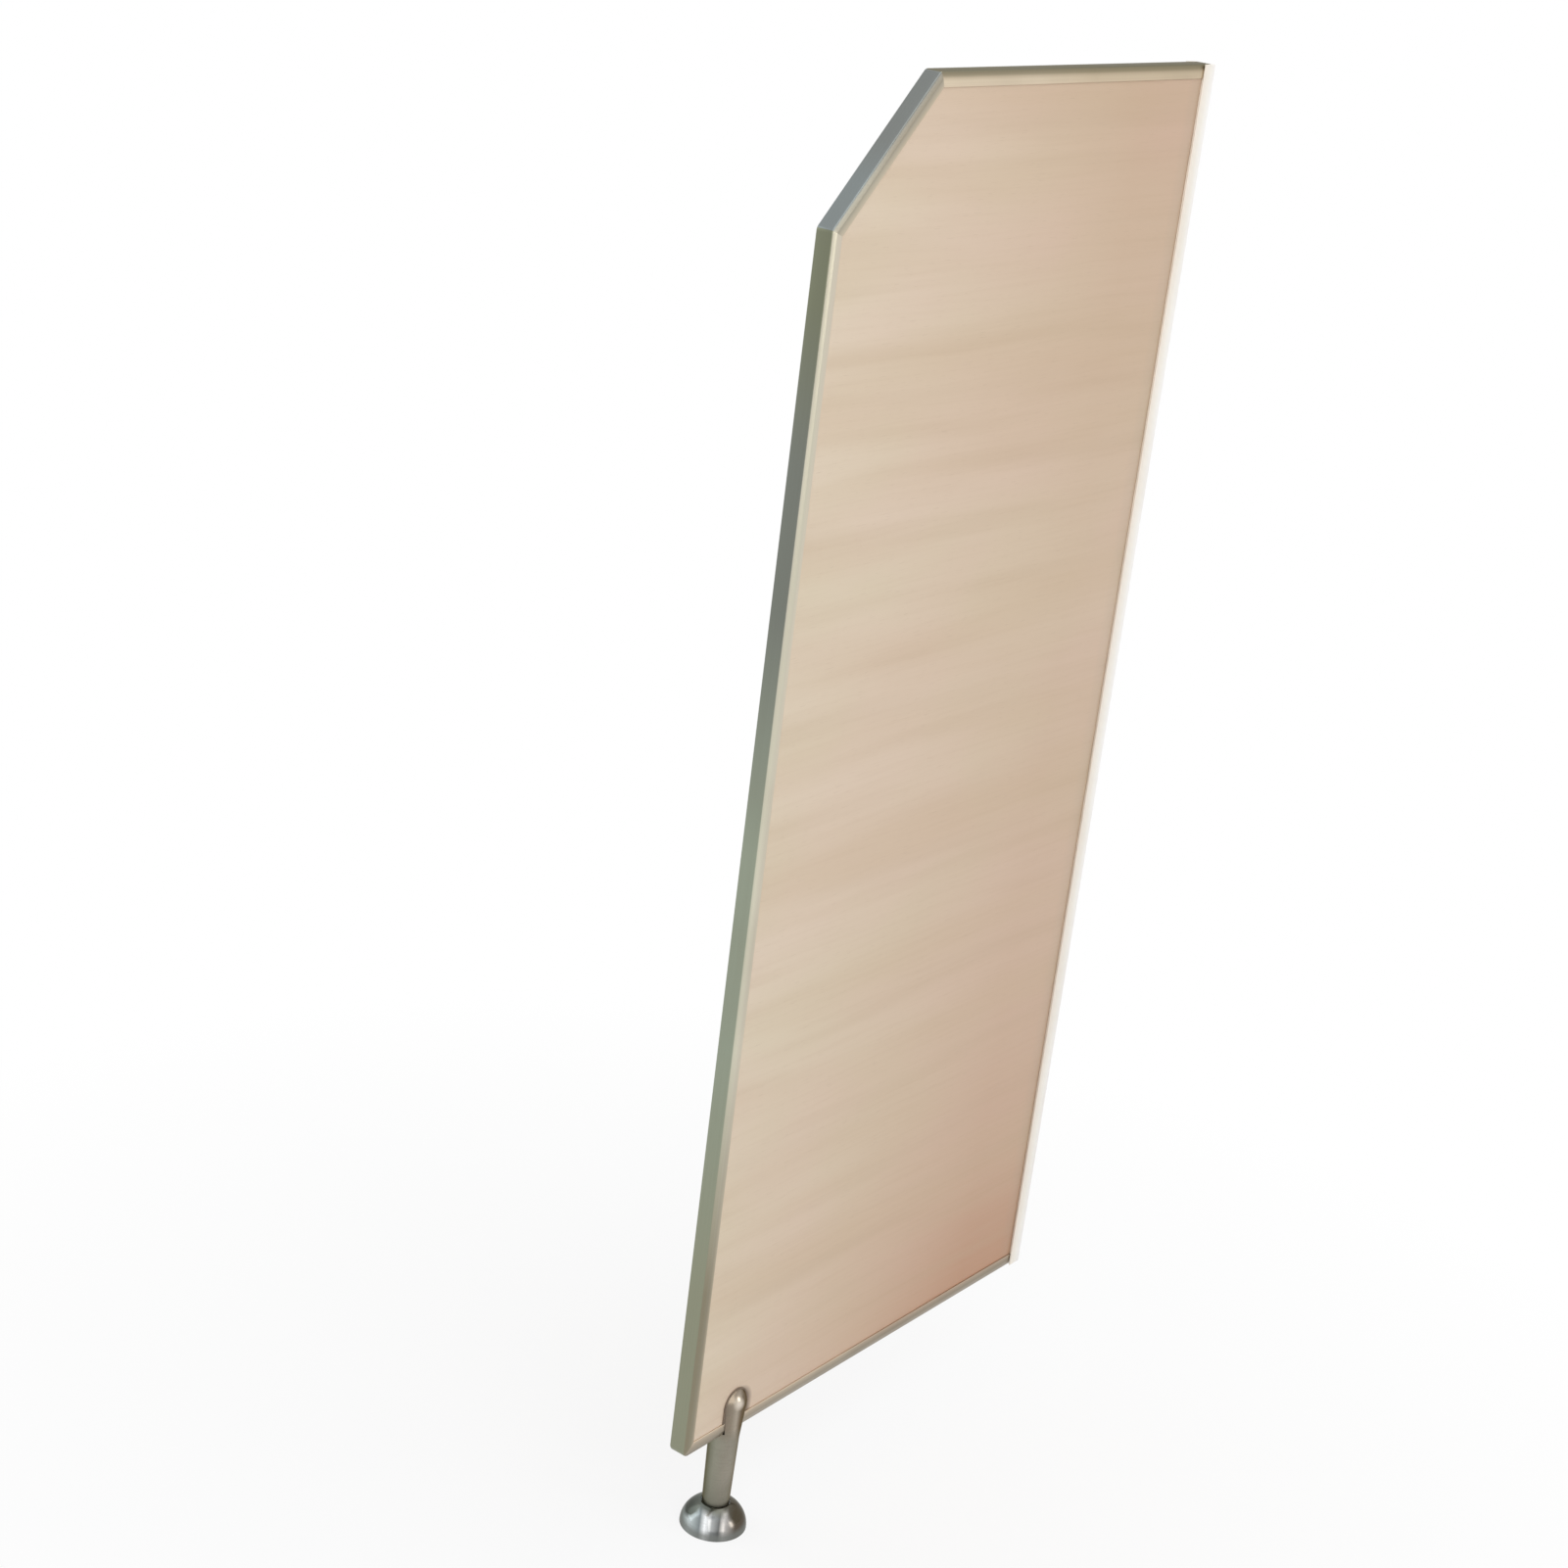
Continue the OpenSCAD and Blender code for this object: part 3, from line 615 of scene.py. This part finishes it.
def warm_satin():
    """Clear satin anodising, with lines along the extrusion and a few rubbed places. A painted
    reflection makes it brightest at the wall and creamier at the lips, whose sawn edges are dull."""
    satin = Finish("warm_satin")
    line = satin.noise(satin.place((die_lines, die_lines, drawn_out)), 1.0, 2.0)
    rub = satin.noise(satin.place((30.0, 30.0, 6.0)), 1.0, 4.0)
    # Painted reflection: brighter towards the wall.
    tone = satin.tones(satin.spread(satin.axis("Y"), channel_low.y, channel_high.y),
                       (0.05, (0.860, 0.790, 0.700)), (0.55, (0.930, 0.895, 0.830)),
                       (1.0, (0.975, 0.960, 0.945)))
    sawn, sound = channel_low.y + 0.0002, channel_low.y + 0.001
    whole = satin.spread(satin.axis("Y"), sawn, sound, 0.15, 1.0)
    return satin.surface(
        Base_Color=satin.marked(tone, (rub, 0.45, 0.75, 0.35, (0.760, 0.690, 0.600)),
                                (line, 0.4, 0.7, 0.12, (0.640, 0.570, 0.490))),
        Metallic=whole * satin.spread(rub, 0.3, 0.7, 0.62, 0.72),
        Roughness=satin.spread(rub, 0.3, 0.7, 0.34, 0.46),
        Normal=satin.relief(line, 0.15, 0.00005))


def spaced(first, last, count):
    """Heights at even steps from the first to the last."""
    return [first + i * (last - first) / (count - 1) for i in range(count)]


channel_low, channel_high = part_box("wall_channel")
channel_face, channel_wall, channel_edge = channel_high.x, 0.0015, 0.0005
screws_low, screws_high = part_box("channel_screws")
head_radius, head_height = (screws_high.y - screws_low.y) / 2, 0.0024
fixing_thread, fixing_play = 0.0035, 0.0001
fixing_y, fixing_count = (screws_high.y + screws_low.y) / 2, 4
fixings = spaced(screws_low.z + head_radius, screws_high.z - head_radius, fixing_count)
wall_hole, wall_hole_inset, wall_hole_count = 0.0055, 0.090, 4
wall_holes = spaced(bottom + wall_hole_inset, top - wall_hole_inset, wall_hole_count)
z_to_x, y_to_z = Matrix.Rotation(right_angle, 4, "Y"), Matrix.Rotation(right_angle, 4, "X")
inner_face = channel_face - channel_wall
channel_outline = rounded(
    ((-channel_face, channel_high.y), (channel_face, channel_high.y),
     (channel_face, channel_low.y), (inner_face, channel_low.y),
     (inner_face, channel_high.y - channel_wall), (-inner_face, channel_high.y - channel_wall),
     (-inner_face, channel_low.y), (-channel_face, channel_low.y)),
    (channel_edge, channel_edge, channel_edge, channel_edge, 0.0, 0.0, channel_edge, channel_edge))


def fixing_drills():
    """What the channel screws take out of the channel and the rear trim."""
    return [moved(drill(fixing_thread / 2 + fixing_play, 2 * fixing_thread + channel_face),
                  Matrix.Translation((-channel_face - fixing_thread, fixing_y, z)), z_to_x)
            for z in fixings]


def wall_drills():
    """What the wall screws take out of the channel."""
    return [moved(drill(wall_hole / 2, 2 * wall_hole),
                  Matrix.Translation((0.0, channel_high.y + wall_hole, z)), y_to_z)
            for z in wall_holes]


warm = warm_satin()
channel = machined(extruded("wall_channel_bar", channel_outline, bottom, top),
                   fixing_drills() + wall_drills(), edge=0.0002, sharp=60.0)
fitted("wall_channel_bar", channel, warm, "wall_channel")
rear_length = bent_trims["rear_trim"]
rear_length.data = machined(rear_length.data, fixing_drills())

# ---- Channel screws -----------------------------------------------------------------------
# Four pan-head tapping screws with cross recesses, of stainless steel. They go through the
# channel's hidden flange and the trim into the board.
def screw_row():
    """Copies of a screw along a line, each turned about X as the driver left it."""
    row = Maker("screw_row", Count="Int", First="Vector", Pitch="Vector", Turned_By="Float")
    line = row.add("GeometryNodeMeshLine", {"mode": "OFFSET"}, {
        "Count": row.given["Count"], "Start Location": row.given["First"],
        "Offset": row.given["Pitch"]})
    turn = row.add("FunctionNodeRandomValue", {"data_type": "FLOAT"}, {
        "Min": 0.0, "Max": row.given["Turned By"], "Seed": 7}, output="Value")
    row.end(row.add("GeometryNodeInstanceOnPoints", None, {
        "Points": line, "Instance": row.given["Start"],
        "Rotation": row.add("ShaderNodeCombineXYZ", None, {"X": turn})}))
    return row


def screw_steel():
    """Bright stainless steel, with turning lines across the screw."""
    lines_a_metre = 9000.0
    steel = Finish("screw_steel")
    line = steel.noise(steel.place((lines_a_metre, lines_a_metre / 5, lines_a_metre / 5)), 1.0, 2.0)
    stain = steel.noise(steel.place(), 300.0, 3.0)
    return steel.surface(
        Base_Color=steel.marked((0.600, 0.590, 0.570),
                                (stain, 0.4, 0.7, 1.0, (0.480, 0.470, 0.450))),
        Metallic=1.0, Roughness=steel.spread(stain, 0.3, 0.7, 0.22, 0.36),
        Normal=steel.relief(line, 0.25, 0.00005))


def pan_screw():
    """A screw along Z with its seat at the origin: a domed head below, a threaded shank above."""
    shank, length, pitch = fixing_thread / 2, 0.012, 0.0013
    # Shares: of the shank's radius at the thread's root and at the tip, of the head's height.
    root, tip, rim, crown = 0.76, 0.25, 0.45, 0.55
    dome_steps, bevel_out, bevel_up = 8, 0.0002, 0.0003
    domed = [(head_radius * math.cos(a), -head_height * (rim + crown * math.sin(a)))
             for a in (i * right_angle / dome_steps for i in range(dome_steps))]
    turns = int((length - 2 * shank) / pitch)
    thread = [(shank * (1.0 if step % 2 else root), pitch * (1 + step / 2))
              for step in range(2 * turns)]
    outline = ([(0.0, -head_height)] + domed[::-1]
               + [(head_radius, -bevel_up), (head_radius - bevel_out, 0.0), (shank * root, 0.0)]
               + thread + [(tip * shank, length), (0.0, length)])
    blank = turned("pan_screw", outline, 40)
    slot_wide, slot_deep, slot_round, reach = 0.0009, 0.0016, 0.0002, fixing_thread * 0.56
    wings = [rounded(((-reach, -slot_wide / 2), (reach, -slot_wide / 2), (reach, slot_wide / 2),
                      (-reach, slot_wide / 2)), (slot_round,) * 4)]
    wings.append([(-y, x) for x, y in wings[0]])
    return machined(blank, [extruded("wing", wing, -2 * head_height, slot_deep - head_height)
                            for wing in wings])


steel = screw_steel()
row_maker = screw_row()
fixing_screws = row_maker.make(
    moved(pan_screw(), z_to_x), Count=fixing_count,
    First=(-channel_face, fixing_y, fixings[0]), Pitch=(0.0, 0.0, fixings[1] - fixings[0]),
    Turned_By=2 * math.pi, Material=steel)
fitted("channel_screw_row", closed(fixing_screws), steel, "channel_screws")

# ---- Foot post ----------------------------------------------------------------------------
# A tapered leg of cast zinc with a ball head, slotted to straddle the panel's lower edge and
# drilled from below for the levelling stud. Satin nickel, brushed round the leg.
def satin_nickel():
    """Nickel with painted reflections, olive-dark on the leg's left side in view and pinkish on the
    other, painted dark reflections as brown rims on the head and its top, and a painted highlight
    on the ear. The leg is darker towards its lower end."""
    low_dark_top, low_dark_full, head_start = 0.060, 0.025, bottom + 0.006
    rim_shade_start, rim_shade_full = head_z + 0.6 * ball, head_z + ball
    # Where the painted highlight on the ear sits, and where it is full and where it ends.
    highlight_x, highlight_y, highlight_z = 0.0148, -0.0034, head_z + 0.0040
    highlight_full, highlight_end = 0.0018, 0.0068
    nickel = Finish("satin_nickel")
    brush = nickel.noise(nickel.place((60.0, 60.0, 3500.0)), 1.0, 3.0, 0.6)
    cloud = nickel.noise(nickel.place((1.0, 1.0, 0.5)), 55.0, 3.0)
    side, height = nickel.spread(nickel.axis("X", turn=view_side_turn), -ball, ball), nickel.axis("Z")
    # Painted reflections and shade across the leg: darker on the left in view.
    leg = nickel.tones(side,
                       (0.10, (0.160, 0.170, 0.120)), (0.32, (0.290, 0.285, 0.225)),
                       (0.62, (0.325, 0.298, 0.245)), (0.88, (0.370, 0.345, 0.290)))
    # The head's tones: painted dark reflections at its rims and a paler middle.
    head = nickel.tones(side,
                        (0.48, (0.245, 0.192, 0.148)), (0.66, (0.320, 0.268, 0.208)),
                        (0.78, (0.470, 0.410, 0.335)), (0.88, (0.200, 0.155, 0.112)),
                        (1.0, (0.170, 0.130, 0.090)))
    # Distance from the centre of the painted highlight on the ear.
    highlight_reach = nickel.add("ShaderNodeVectorMath", {"operation": "LENGTH"}, {
        0: nickel.place(shift=(-highlight_x, -highlight_y, -highlight_z))}, output="Value")
    tone = nickel.marked(
        nickel.blend(nickel.spread(height, flare_z, head_start), leg, head),
        # Darker towards the leg's lower end.
        (height, low_dark_top, low_dark_full, 0.45, (0.120, 0.124, 0.098)),
        (highlight_reach, highlight_end, highlight_full, 0.74, (0.860, 0.770, 0.660)),
        # Painted dark reflection on the head's top.
        (height, rim_shade_start, rim_shade_full, 1.0, (0.150, 0.105, 0.068)),
        (cloud, 0.40, 0.70, 0.30, (0.170, 0.160, 0.120)),
        (brush, 0.45, 0.72, 0.25, (0.120, 0.110, 0.085)))
    return nickel.surface(
        Base_Color=tone, Metallic=1.0, Specular_Tint=(0.46, 0.42, 0.36),
        Roughness=nickel.spread(cloud, 0.3, 0.7, 0.22, 0.30),
        Normal=nickel.relief(brush, 0.20, 0.00006))


post_low, post_high, flare_drop, end_round, flare_round = 0.0122, 0.0137, 0.008, 0.0008, 0.09
ball, head_rise, post_sides, ball_steps = 0.0165, 0.027, 128, 40
post_end, head_z, flare_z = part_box("foot_post")[0].z, bottom + head_rise, bottom - flare_drop
slot_play, stud_thread, bore_play, bore_top = 0.0002, 0.006, 0.00008, 0.0622
slot_face = flange_face + slot_play
sink_low, sink_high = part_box("clamp_screws")
sink_radius, sink_depth, sink_play, sink_sides = (sink_high.y - sink_low.y) / 2, 0.0023, 0.0001, 48
clamp_thread, clamp_play, clamp_hole_end = 0.0025, 0.0003, 0.0126
clamp_low, clamp_high = sink_low.z + sink_radius, sink_high.z - sink_radius
touch_turn = (math.acos(ball / math.hypot(post_high, head_z - flare_z))
              - math.atan2(head_z - flare_z, post_high))
post_corners = [(0.0, post_end), (post_low, post_end), (post_high, flare_z),
                (ball * math.cos(touch_turn), head_z + ball * math.sin(touch_turn))]
post_outline = rounded(post_corners + [(0.0, head_z)], (0.0, end_round, flare_round, 0.0, 0.0), 8)
post_outline = post_outline[:-2] + [
    (ball * math.cos(a), head_z + ball * math.sin(a)) for a in
    (touch_turn + (right_angle - touch_turn) * i / ball_steps for i in range(ball_steps))]
post_outline.append((0.0, head_z + ball))


def slab(name, low, high):
    """A cutting block between two corners."""
    return extruded(name, ((low[0], low[1]), (high[0], low[1]), (high[0], high[1]),
                           (low[0], high[1])), low[2], high[2])


def half_side(sides):
    """A turn by half a side, which keeps a round cutter's corners off the post's own."""
    return Matrix.Rotation(math.pi / sides, 4, "Z")


def clamp_drills():
    """What each clamp screw takes out: a sunk head in the hidden ear, and its thread's hole."""
    hole, wide, seat = clamp_thread + clamp_play, sink_radius + sink_play, -sink_low.x
    end = seat + clamp_hole_end
    sink = ((0.0, -ball), (wide, -ball), (wide, 0.0), (hole, sink_depth),
            (hole, seat), (clamp_thread, seat), (clamp_thread, end), (0.0, end))
    return [moved(turned("sink", sink, sink_sides), Matrix.Translation((-seat, 0.0, z)),
                  z_to_x, half_side(sink_sides)) for z in (clamp_low, clamp_high)]


# The turn that brings the left side of the foot in view to -X, for the painted reflections and
# shade across the post and the dome.
view_side_turn = (0.0, 0.0, math.radians(-35.0))
nickel = satin_nickel()
slot = slab("slot", (-slot_face, -2 * ball, bottom), (slot_face, 2 * ball, top))
bore = moved(drill(stud_thread + bore_play, bore_top + post_end),
             Matrix.Translation((0.0, 0.0, -post_end)), half_side(post_sides))
post = machined(turned("foot_post_cast", post_outline, post_sides),
                [slot] + clamp_drills() + [bore], edge=0.0004, sharp=40.0)
fitted("foot_post_cast", post, nickel, "foot_post")

# ---- Clamp pads ---------------------------------------------------------------------------
# Two brown rubber pads that show as a dark arch round each ear. They rest on the trim's inner
# edge and keep the metal off the laminate.
def soft_rubber(name, tone):
    """Rubber with a fine grain, paler where dust lies on it."""
    rubber = Finish(name)
    grain = rubber.noise(rubber.place(), 2500.0, 3.0)
    dust = rubber.noise(rubber.place(), 120.0, 4.0)
    return rubber.surface(
        Base_Color=rubber.marked(tone, (dust, 0.45, 0.75, 0.6, tuple(1.8 * part for part in tone))),
        Roughness=rubber.spread(dust, 0.3, 0.7, 0.62, 0.80),
        Normal=rubber.relief(grain, 0.35, 0.0001))


pad_low, pad_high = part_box("clamp_pads")
pad_play = 0.0001
pad_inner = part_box("laminate_right")[1].x + pad_play
chord, arch_steps, pad_corner, pad_edge = pad_high.y, 28, 0.0012, 0.00025
arch = [(chord * math.cos(a), head_z + chord * math.sin(a)) for a in
        (math.pi * i / arch_steps for i in range(arch_steps + 1))]
pad_outline = rounded(arch + [(-chord, pad_low.z), (chord, pad_low.z)],
                      [0.0] * len(arch) + [pad_corner] * 2)
pads = bmesh.new()
for side in (1, -1):
    near, far = sorted((side * pad_inner, side * pad_high.x))
    pads.from_mesh(moved(extruded("pad", pad_outline, near, far),
                         Matrix.Rotation(right_angle, 4, "Z"), y_to_z))
pad_drills = [moved(drill(clamp_thread + clamp_play, 4 * ball),
                    Matrix.Translation((-2 * ball, 0.0, z)), z_to_x)
              for z in (clamp_low, clamp_high)]
pad_pair = machined(closed_work("clamp_pad_pair", pads), pad_drills, edge=pad_edge, sharp=50.0)
rubber = soft_rubber("clamp_rubber", (0.165, 0.122, 0.088))
fitted("clamp_pad_pair", pad_pair, rubber, "clamp_pads")

# ---- Clamp screws -------------------------------------------------------------------------
# Two countersunk machine screws with hexagon sockets, sunk in the hidden ear. They go through
# the pads and the board into the ear in view, and close the fork.
def sunk_screw():
    """A screw along Z with the flat of its head at the origin and its thread's crests above."""
    length, pitch, root, plain = sink_high.x - sink_low.x, 0.0008, 0.86, 0.6
    rim_break, socket_radius, socket_depth = 0.0002, 0.00175, 0.9 * sink_depth
    first = int(plain * length / pitch)
    crests = [(clamp_thread * (1.0 if step % 2 else root), pitch * (first + step / 2))
              for step in range(2 * (int(length / pitch) - first))]
    outline = [(0.0, 0.0), (sink_radius - rim_break, 0.0), (sink_radius, rim_break),
               (clamp_thread, sink_depth)] + crests + [(clamp_thread * root, length), (0.0, length)]
    socket = [(socket_radius * math.cos(a), socket_radius * math.sin(a))
              for a in (i * math.pi / 3 for i in range(6))]
    return machined(turned("sunk_screw", outline, sink_sides),
                    [extruded("socket", socket, -sink_depth, socket_depth)])


sunk_row = row_maker.make(
    moved(sunk_screw(), z_to_x), Count=2,
    First=(sink_low.x, 0.0, clamp_low), Pitch=(0.0, 0.0, clamp_high - clamp_low),
    Turned_By=math.pi / 3, Material=steel)
fitted("clamp_screw_pair", closed(sunk_row), steel, "clamp_screws")

# ---- Levelling stud and ring --------------------------------------------------------------
# A zinc-plated steel stud: a journal with a groove, a hexagon for the spanner, and a thread of
# 1.75 mm pitch in the post. A blackened spring ring in the groove keeps it in the base plate.
def levelling_screw():
    """Rings of one shape each: round in the journal, six-sided in the hexagon, waved in the
    thread, whose crest climbs one pitch in each turn."""
    sides, pitch, pitch_steps, cut_in, lead_in = 72, 0.00175, 8, 0.00105, 0.0015
    journal, core, hexagon, play = 0.0045, 0.0037, 0.004, 0.0001
    bevel, ease, flank, crest = 0.0003, 0.0005, 1.25, 0.12
    low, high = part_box("levelling_stud")
    across = (high.y - low.y) / 2
    ring_low, ring_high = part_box("retaining_ring")
    groove = (ring_low.z - play, ring_high.z + play)
    hex_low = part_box("base_plate")[1].z + 2 * play
    hex_high = hex_low + hexagon

    def six(inset):
        """The hexagon's reach at each angle, with its corners cut back."""
        corner = across / math.cos(math.pi / 6) - inset
        return lambda a: min(across / math.cos(a % (math.pi / 3) - math.pi / 6), corner)

    def thread(z, most):
        """The thread's reach at each angle, at one height."""
        def reach(a):
            wave = abs(2 * ((z / pitch - a / (2 * math.pi)) % 1.0) - 1)
            return min(stud_thread - cut_in * max(0.0, min(1.0, flank * wave - crest)), most)
        return reach

    def plain(radius):
        return lambda a: radius

    rows = [(low.z, plain(journal - bevel)), (low.z + bevel, plain(journal)),
            (groove[0], plain(journal)), (groove[0], plain(core)), (groove[1], plain(core)),
            (groove[1], plain(journal)), (hex_low, plain(journal)), (hex_low, six(ease)),
            (hex_low + ease, six(0.0)), (hex_high - ease, six(0.0)), (hex_high, six(ease)),
            (hex_high, plain(stud_thread - cut_in))]
    steps = int((high.z - hex_high) / pitch * pitch_steps)
    for step in range(1, steps + 1):
        z = hex_high + (high.z - hex_high) * step / steps
        rows.append((z, thread(z, min(stud_thread, stud_thread - lead_in + (high.z - z)))))
    work = bmesh.new()
    rings = [[work.verts.new((reach(a) * math.cos(a), reach(a) * math.sin(a), z))
              for a in (2 * math.pi * i / sides for i in range(sides))] for z, reach in rows]
    for under, over in zip(rings, rings[1:]):
        for i in range(sides):
            work.faces.new((under[i - 1], under[i], over[i], over[i - 1]))
    for end in (rings[0], rings[-1]):
        work.faces.new(end)
    return closed_work("levelling_stud_cut", work)


def spring_black():
    """Spring steel blackened in oil, which has dried unevenly."""
    spring = Finish("spring_black")
    oil = spring.noise(spring.place(), 400.0, 3.0)
    return spring.surface(
        Base_Color=spring.blend(oil, (0.070, 0.070, 0.080), (0.120, 0.110, 0.105)),
        Metallic=1.0, Roughness=spring.spread(oil, 0.3, 0.7, 0.32, 0.50),
        Normal=spring.relief(oil, 0.15, 0.00005))


fitted("levelling_stud_cut", levelling_screw(), plating, "levelling_stud")
coat(node["retaining_ring"], spring_black())

# ---- Base plate and floor pad -------------------------------------------------------------
# A turned steel plate with three holes for floor screws, and a rubber pad under it.
coat(node["base_plate"], plating)
coat(node["floor_pad"], soft_rubber("floor_rubber", (0.022, 0.022, 0.022)))

# ---- Dome cover ---------------------------------------------------------------------------
# A cap of thin stainless sheet, spun to a dome with a hole for the post and polished. It stands
# on the floor over the base plate, and slides up the post to reach the floor screws.
def polished_sheet():
    """Bright steel with painted dark reflections, olive on the left side in view and brown on the
    other, and a band of painted bright reflections low down whose edge wavers with smears that run
    down it. It is darker at the floor."""
    reflection_band_full, reflection_band_end, reflection_band_rise = 0.0100, 0.0138, 0.0090
    low_dark_top, low_dark_full, waver = 0.0095, 0.0045, 0.006
    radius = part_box("dome_cover")[1].x
    sheet = Finish("polished_sheet")
    spun = sheet.noise(sheet.place((90.0, 90.0, 1800.0)), 1.0, 2.0)
    smear_and_band_waver = sheet.noise(sheet.place(scale=(1.0, 1.0, 0.35)), 75.0, 4.0, 0.6)
    side = sheet.spread(sheet.axis("X", turn=view_side_turn), -radius, radius)
    # Painted reflections: dark tones on the upper dome, and a band of bright and dark ones low down.
    upper = sheet.tones(side, (0.14, (0.062, 0.070, 0.060)), (0.36, (0.145, 0.160, 0.140)),
                        (0.66, (0.120, 0.116, 0.096)), (0.80, (0.078, 0.064, 0.043)))
    lower_reflections = sheet.tones(side, (0.03, (0.150, 0.168, 0.152)), (0.14, (0.540, 0.600, 0.600)),
                        (0.31, (0.215, 0.245, 0.250)), (0.39, (0.960, 0.985, 0.995)),
                        (0.49, (0.205, 0.215, 0.220)), (0.60, (0.070, 0.074, 0.074)),
                        (0.67, (0.470, 0.455, 0.440)), (0.84, (0.105, 0.085, 0.066)))
    middle = sheet.spread((side - 0.5).math("ABSOLUTE"), 0.20, 0.34, reflection_band_rise, 0.0)
    height = sheet.axis("Z") + (smear_and_band_waver - 0.5) * waver
    tone = sheet.marked(
        sheet.blend(sheet.spread(height - middle, reflection_band_full, reflection_band_end), lower_reflections, upper),
        # Darker towards the floor.
        (height, low_dark_top, low_dark_full, 0.80, (0.195, 0.205, 0.192)),
        (spun, 0.5, 0.75, 0.20, (0.160, 0.155, 0.135)))
    return sheet.surface(
        Base_Color=tone, Metallic=1.0, Specular_Tint=(0.72, 0.72, 0.70),
        Roughness=sheet.spread(smear_and_band_waver, 0.3, 0.7, 0.14, 0.24),
        Normal=sheet.relief(spun, 0.06, 0.00004))


def spun_dome():
    """A quarter of an ellipse from the floor to the post's hole, which is as wide as the taper
    where the cover's top comes to when it is lifted, with the base levelled up as well."""
    wall, rim, steps, post_play, lift, travel = 0.001, 0.00045, 44, 0.00025, 0.030, 0.0045
    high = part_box("dome_cover")[1]
    taper = (post_high - post_low) / (flare_z - post_end)
    hole = post_low + taper * (high.z + lift + travel - post_end) + post_play

    def curve(radius, height):
        """One skin of the dome, from the floor to the hole."""
        rise, last = height / math.sqrt(1 - (hole / radius) ** 2), math.acos(hole / radius)
        return [(radius * math.cos(last * i / steps), rise * math.sin(last * i / steps))
                for i in range(steps + 1)]

    outer, inner = curve(high.x, high.z), curve(high.x - wall, high.z - wall)
    outline = outer + inner[::-1]
    radii = [0.0] * len(outline)
    for corner in (0, steps, steps + 1, 2 * steps + 1):
        radii[corner] = rim
    return turned("dome_cover_spun", [tuple(p) for p in rounded(outline, radii)], 160, ring=True)


fitted("dome_cover_spun", spun_dome(), polished_sheet(), "dome_cover")

# ---- Stage --------------------------------------------------------------------------------
# A pale floor that keeps the foot's shadow, a white surround, and soft studio lamps.
def studio():
    """A white surround for the camera, for gloss and for glass, and a dimmer one for light."""
    world = bpy.data.worlds.new("studio")
    world.use_nodes = True
    bpy.context.scene.world = world
    sky = Graph(world.node_tree)
    world.node_tree.nodes.clear()
    path = {name: sky.add("ShaderNodeLightPath", output=name)
            for name in ("Is Camera Ray", "Is Glossy Ray", "Is Transmission Ray")}
    seen = path["Is Camera Ray"].math("MAXIMUM", path["Is Glossy Ray"])
    seen = seen.math("MAXIMUM", path["Is Transmission Ray"])
    ambient = sky.add("ShaderNodeBackground", None, {"Color": (0.95, 0.97, 1.0), "Strength": 0.46})
    white = sky.add("ShaderNodeBackground", None, {"Color": (1.0, 1.0, 1.0), "Strength": 1.0})
    mixed = sky.add("ShaderNodeMixShader", None, {0: seen, 1: ambient, 2: white})
    sky.add("ShaderNodeOutputWorld", None, {"Surface": mixed})


def lamp(name, place, target, size, power, colour=(1.0, 1.0, 1.0)):
    """A soft rectangular lamp that faces a target."""
    light = bpy.data.lights.new(name, "AREA")
    light.shape, light.size, light.size_y = "RECTANGLE", size[0], size[1]
    light.energy, light.color = power, colour
    holder = in_scene(name, light)
    holder.location = place
    holder.rotation_euler = (Vector(target) - Vector(place)).to_track_quat("-Z", "Y").to_euler()


def pale_floor():
    """A wide white floor. Near the foot its own shading shows, which keeps the shadow."""
    half, near, far, near_glow = 40.0, 0.15, 1.1, 0.82
    mesh = bpy.data.meshes.new("floor")
    mesh.from_pydata([(-half, -half, 0), (half, -half, 0), (half, half, 0), (-half, half, 0)],
                     [], [(0, 1, 2, 3)])
    floor = in_scene("floor", mesh)
    paint = Finish("floor_paint")
    away = paint.add("ShaderNodeVectorMath", {"operation": "LENGTH"}, {0: paint.place()},
                     output="Value")
    shade = paint.add("ShaderNodeBsdfDiffuse", None, {"Color": (0.88, 0.88, 0.88)})
    glow = paint.add("ShaderNodeEmission", None, {"Color": (1.0, 1.0, 1.0), "Strength": 1.0})
    seen = paint.add("ShaderNodeLightPath", output="Is Camera Ray").math(
        "MAXIMUM", paint.add("ShaderNodeLightPath", output="Is Glossy Ray"))
    mixed = paint.add("ShaderNodeMixShader", None, {
        0: seen * paint.spread(away, near, far, near_glow, 1.0), 1: shade, 2: glow})
    paint.add("ShaderNodeOutputMaterial", None, {"Surface": mixed})
    coat(floor, paint.material)


studio()
pale_floor()
lamp("key", (2.2, -1.7, 2.2), (0.0, 0.15, 0.7), (3.4, 3.4), 46.0, (1.0, 0.97, 0.93))
lamp("fill", (-2.9, -1.2, 1.9), (0.0, 0.1, 0.6), (2.6, 2.6), 22.0, (0.93, 0.97, 1.0))
lamp("top", (0.6, 0.2, 3.2), (0.0, 0.1, 0.6), (2.6, 2.6), 22.0)
lamp("glint", (2.6, 1.0, 1.15), (0.0, 0.0, 0.12), (0.6, 1.0), 6.0, (1.0, 0.96, 0.90))
bpy.context.scene.view_settings.view_transform = "Standard"
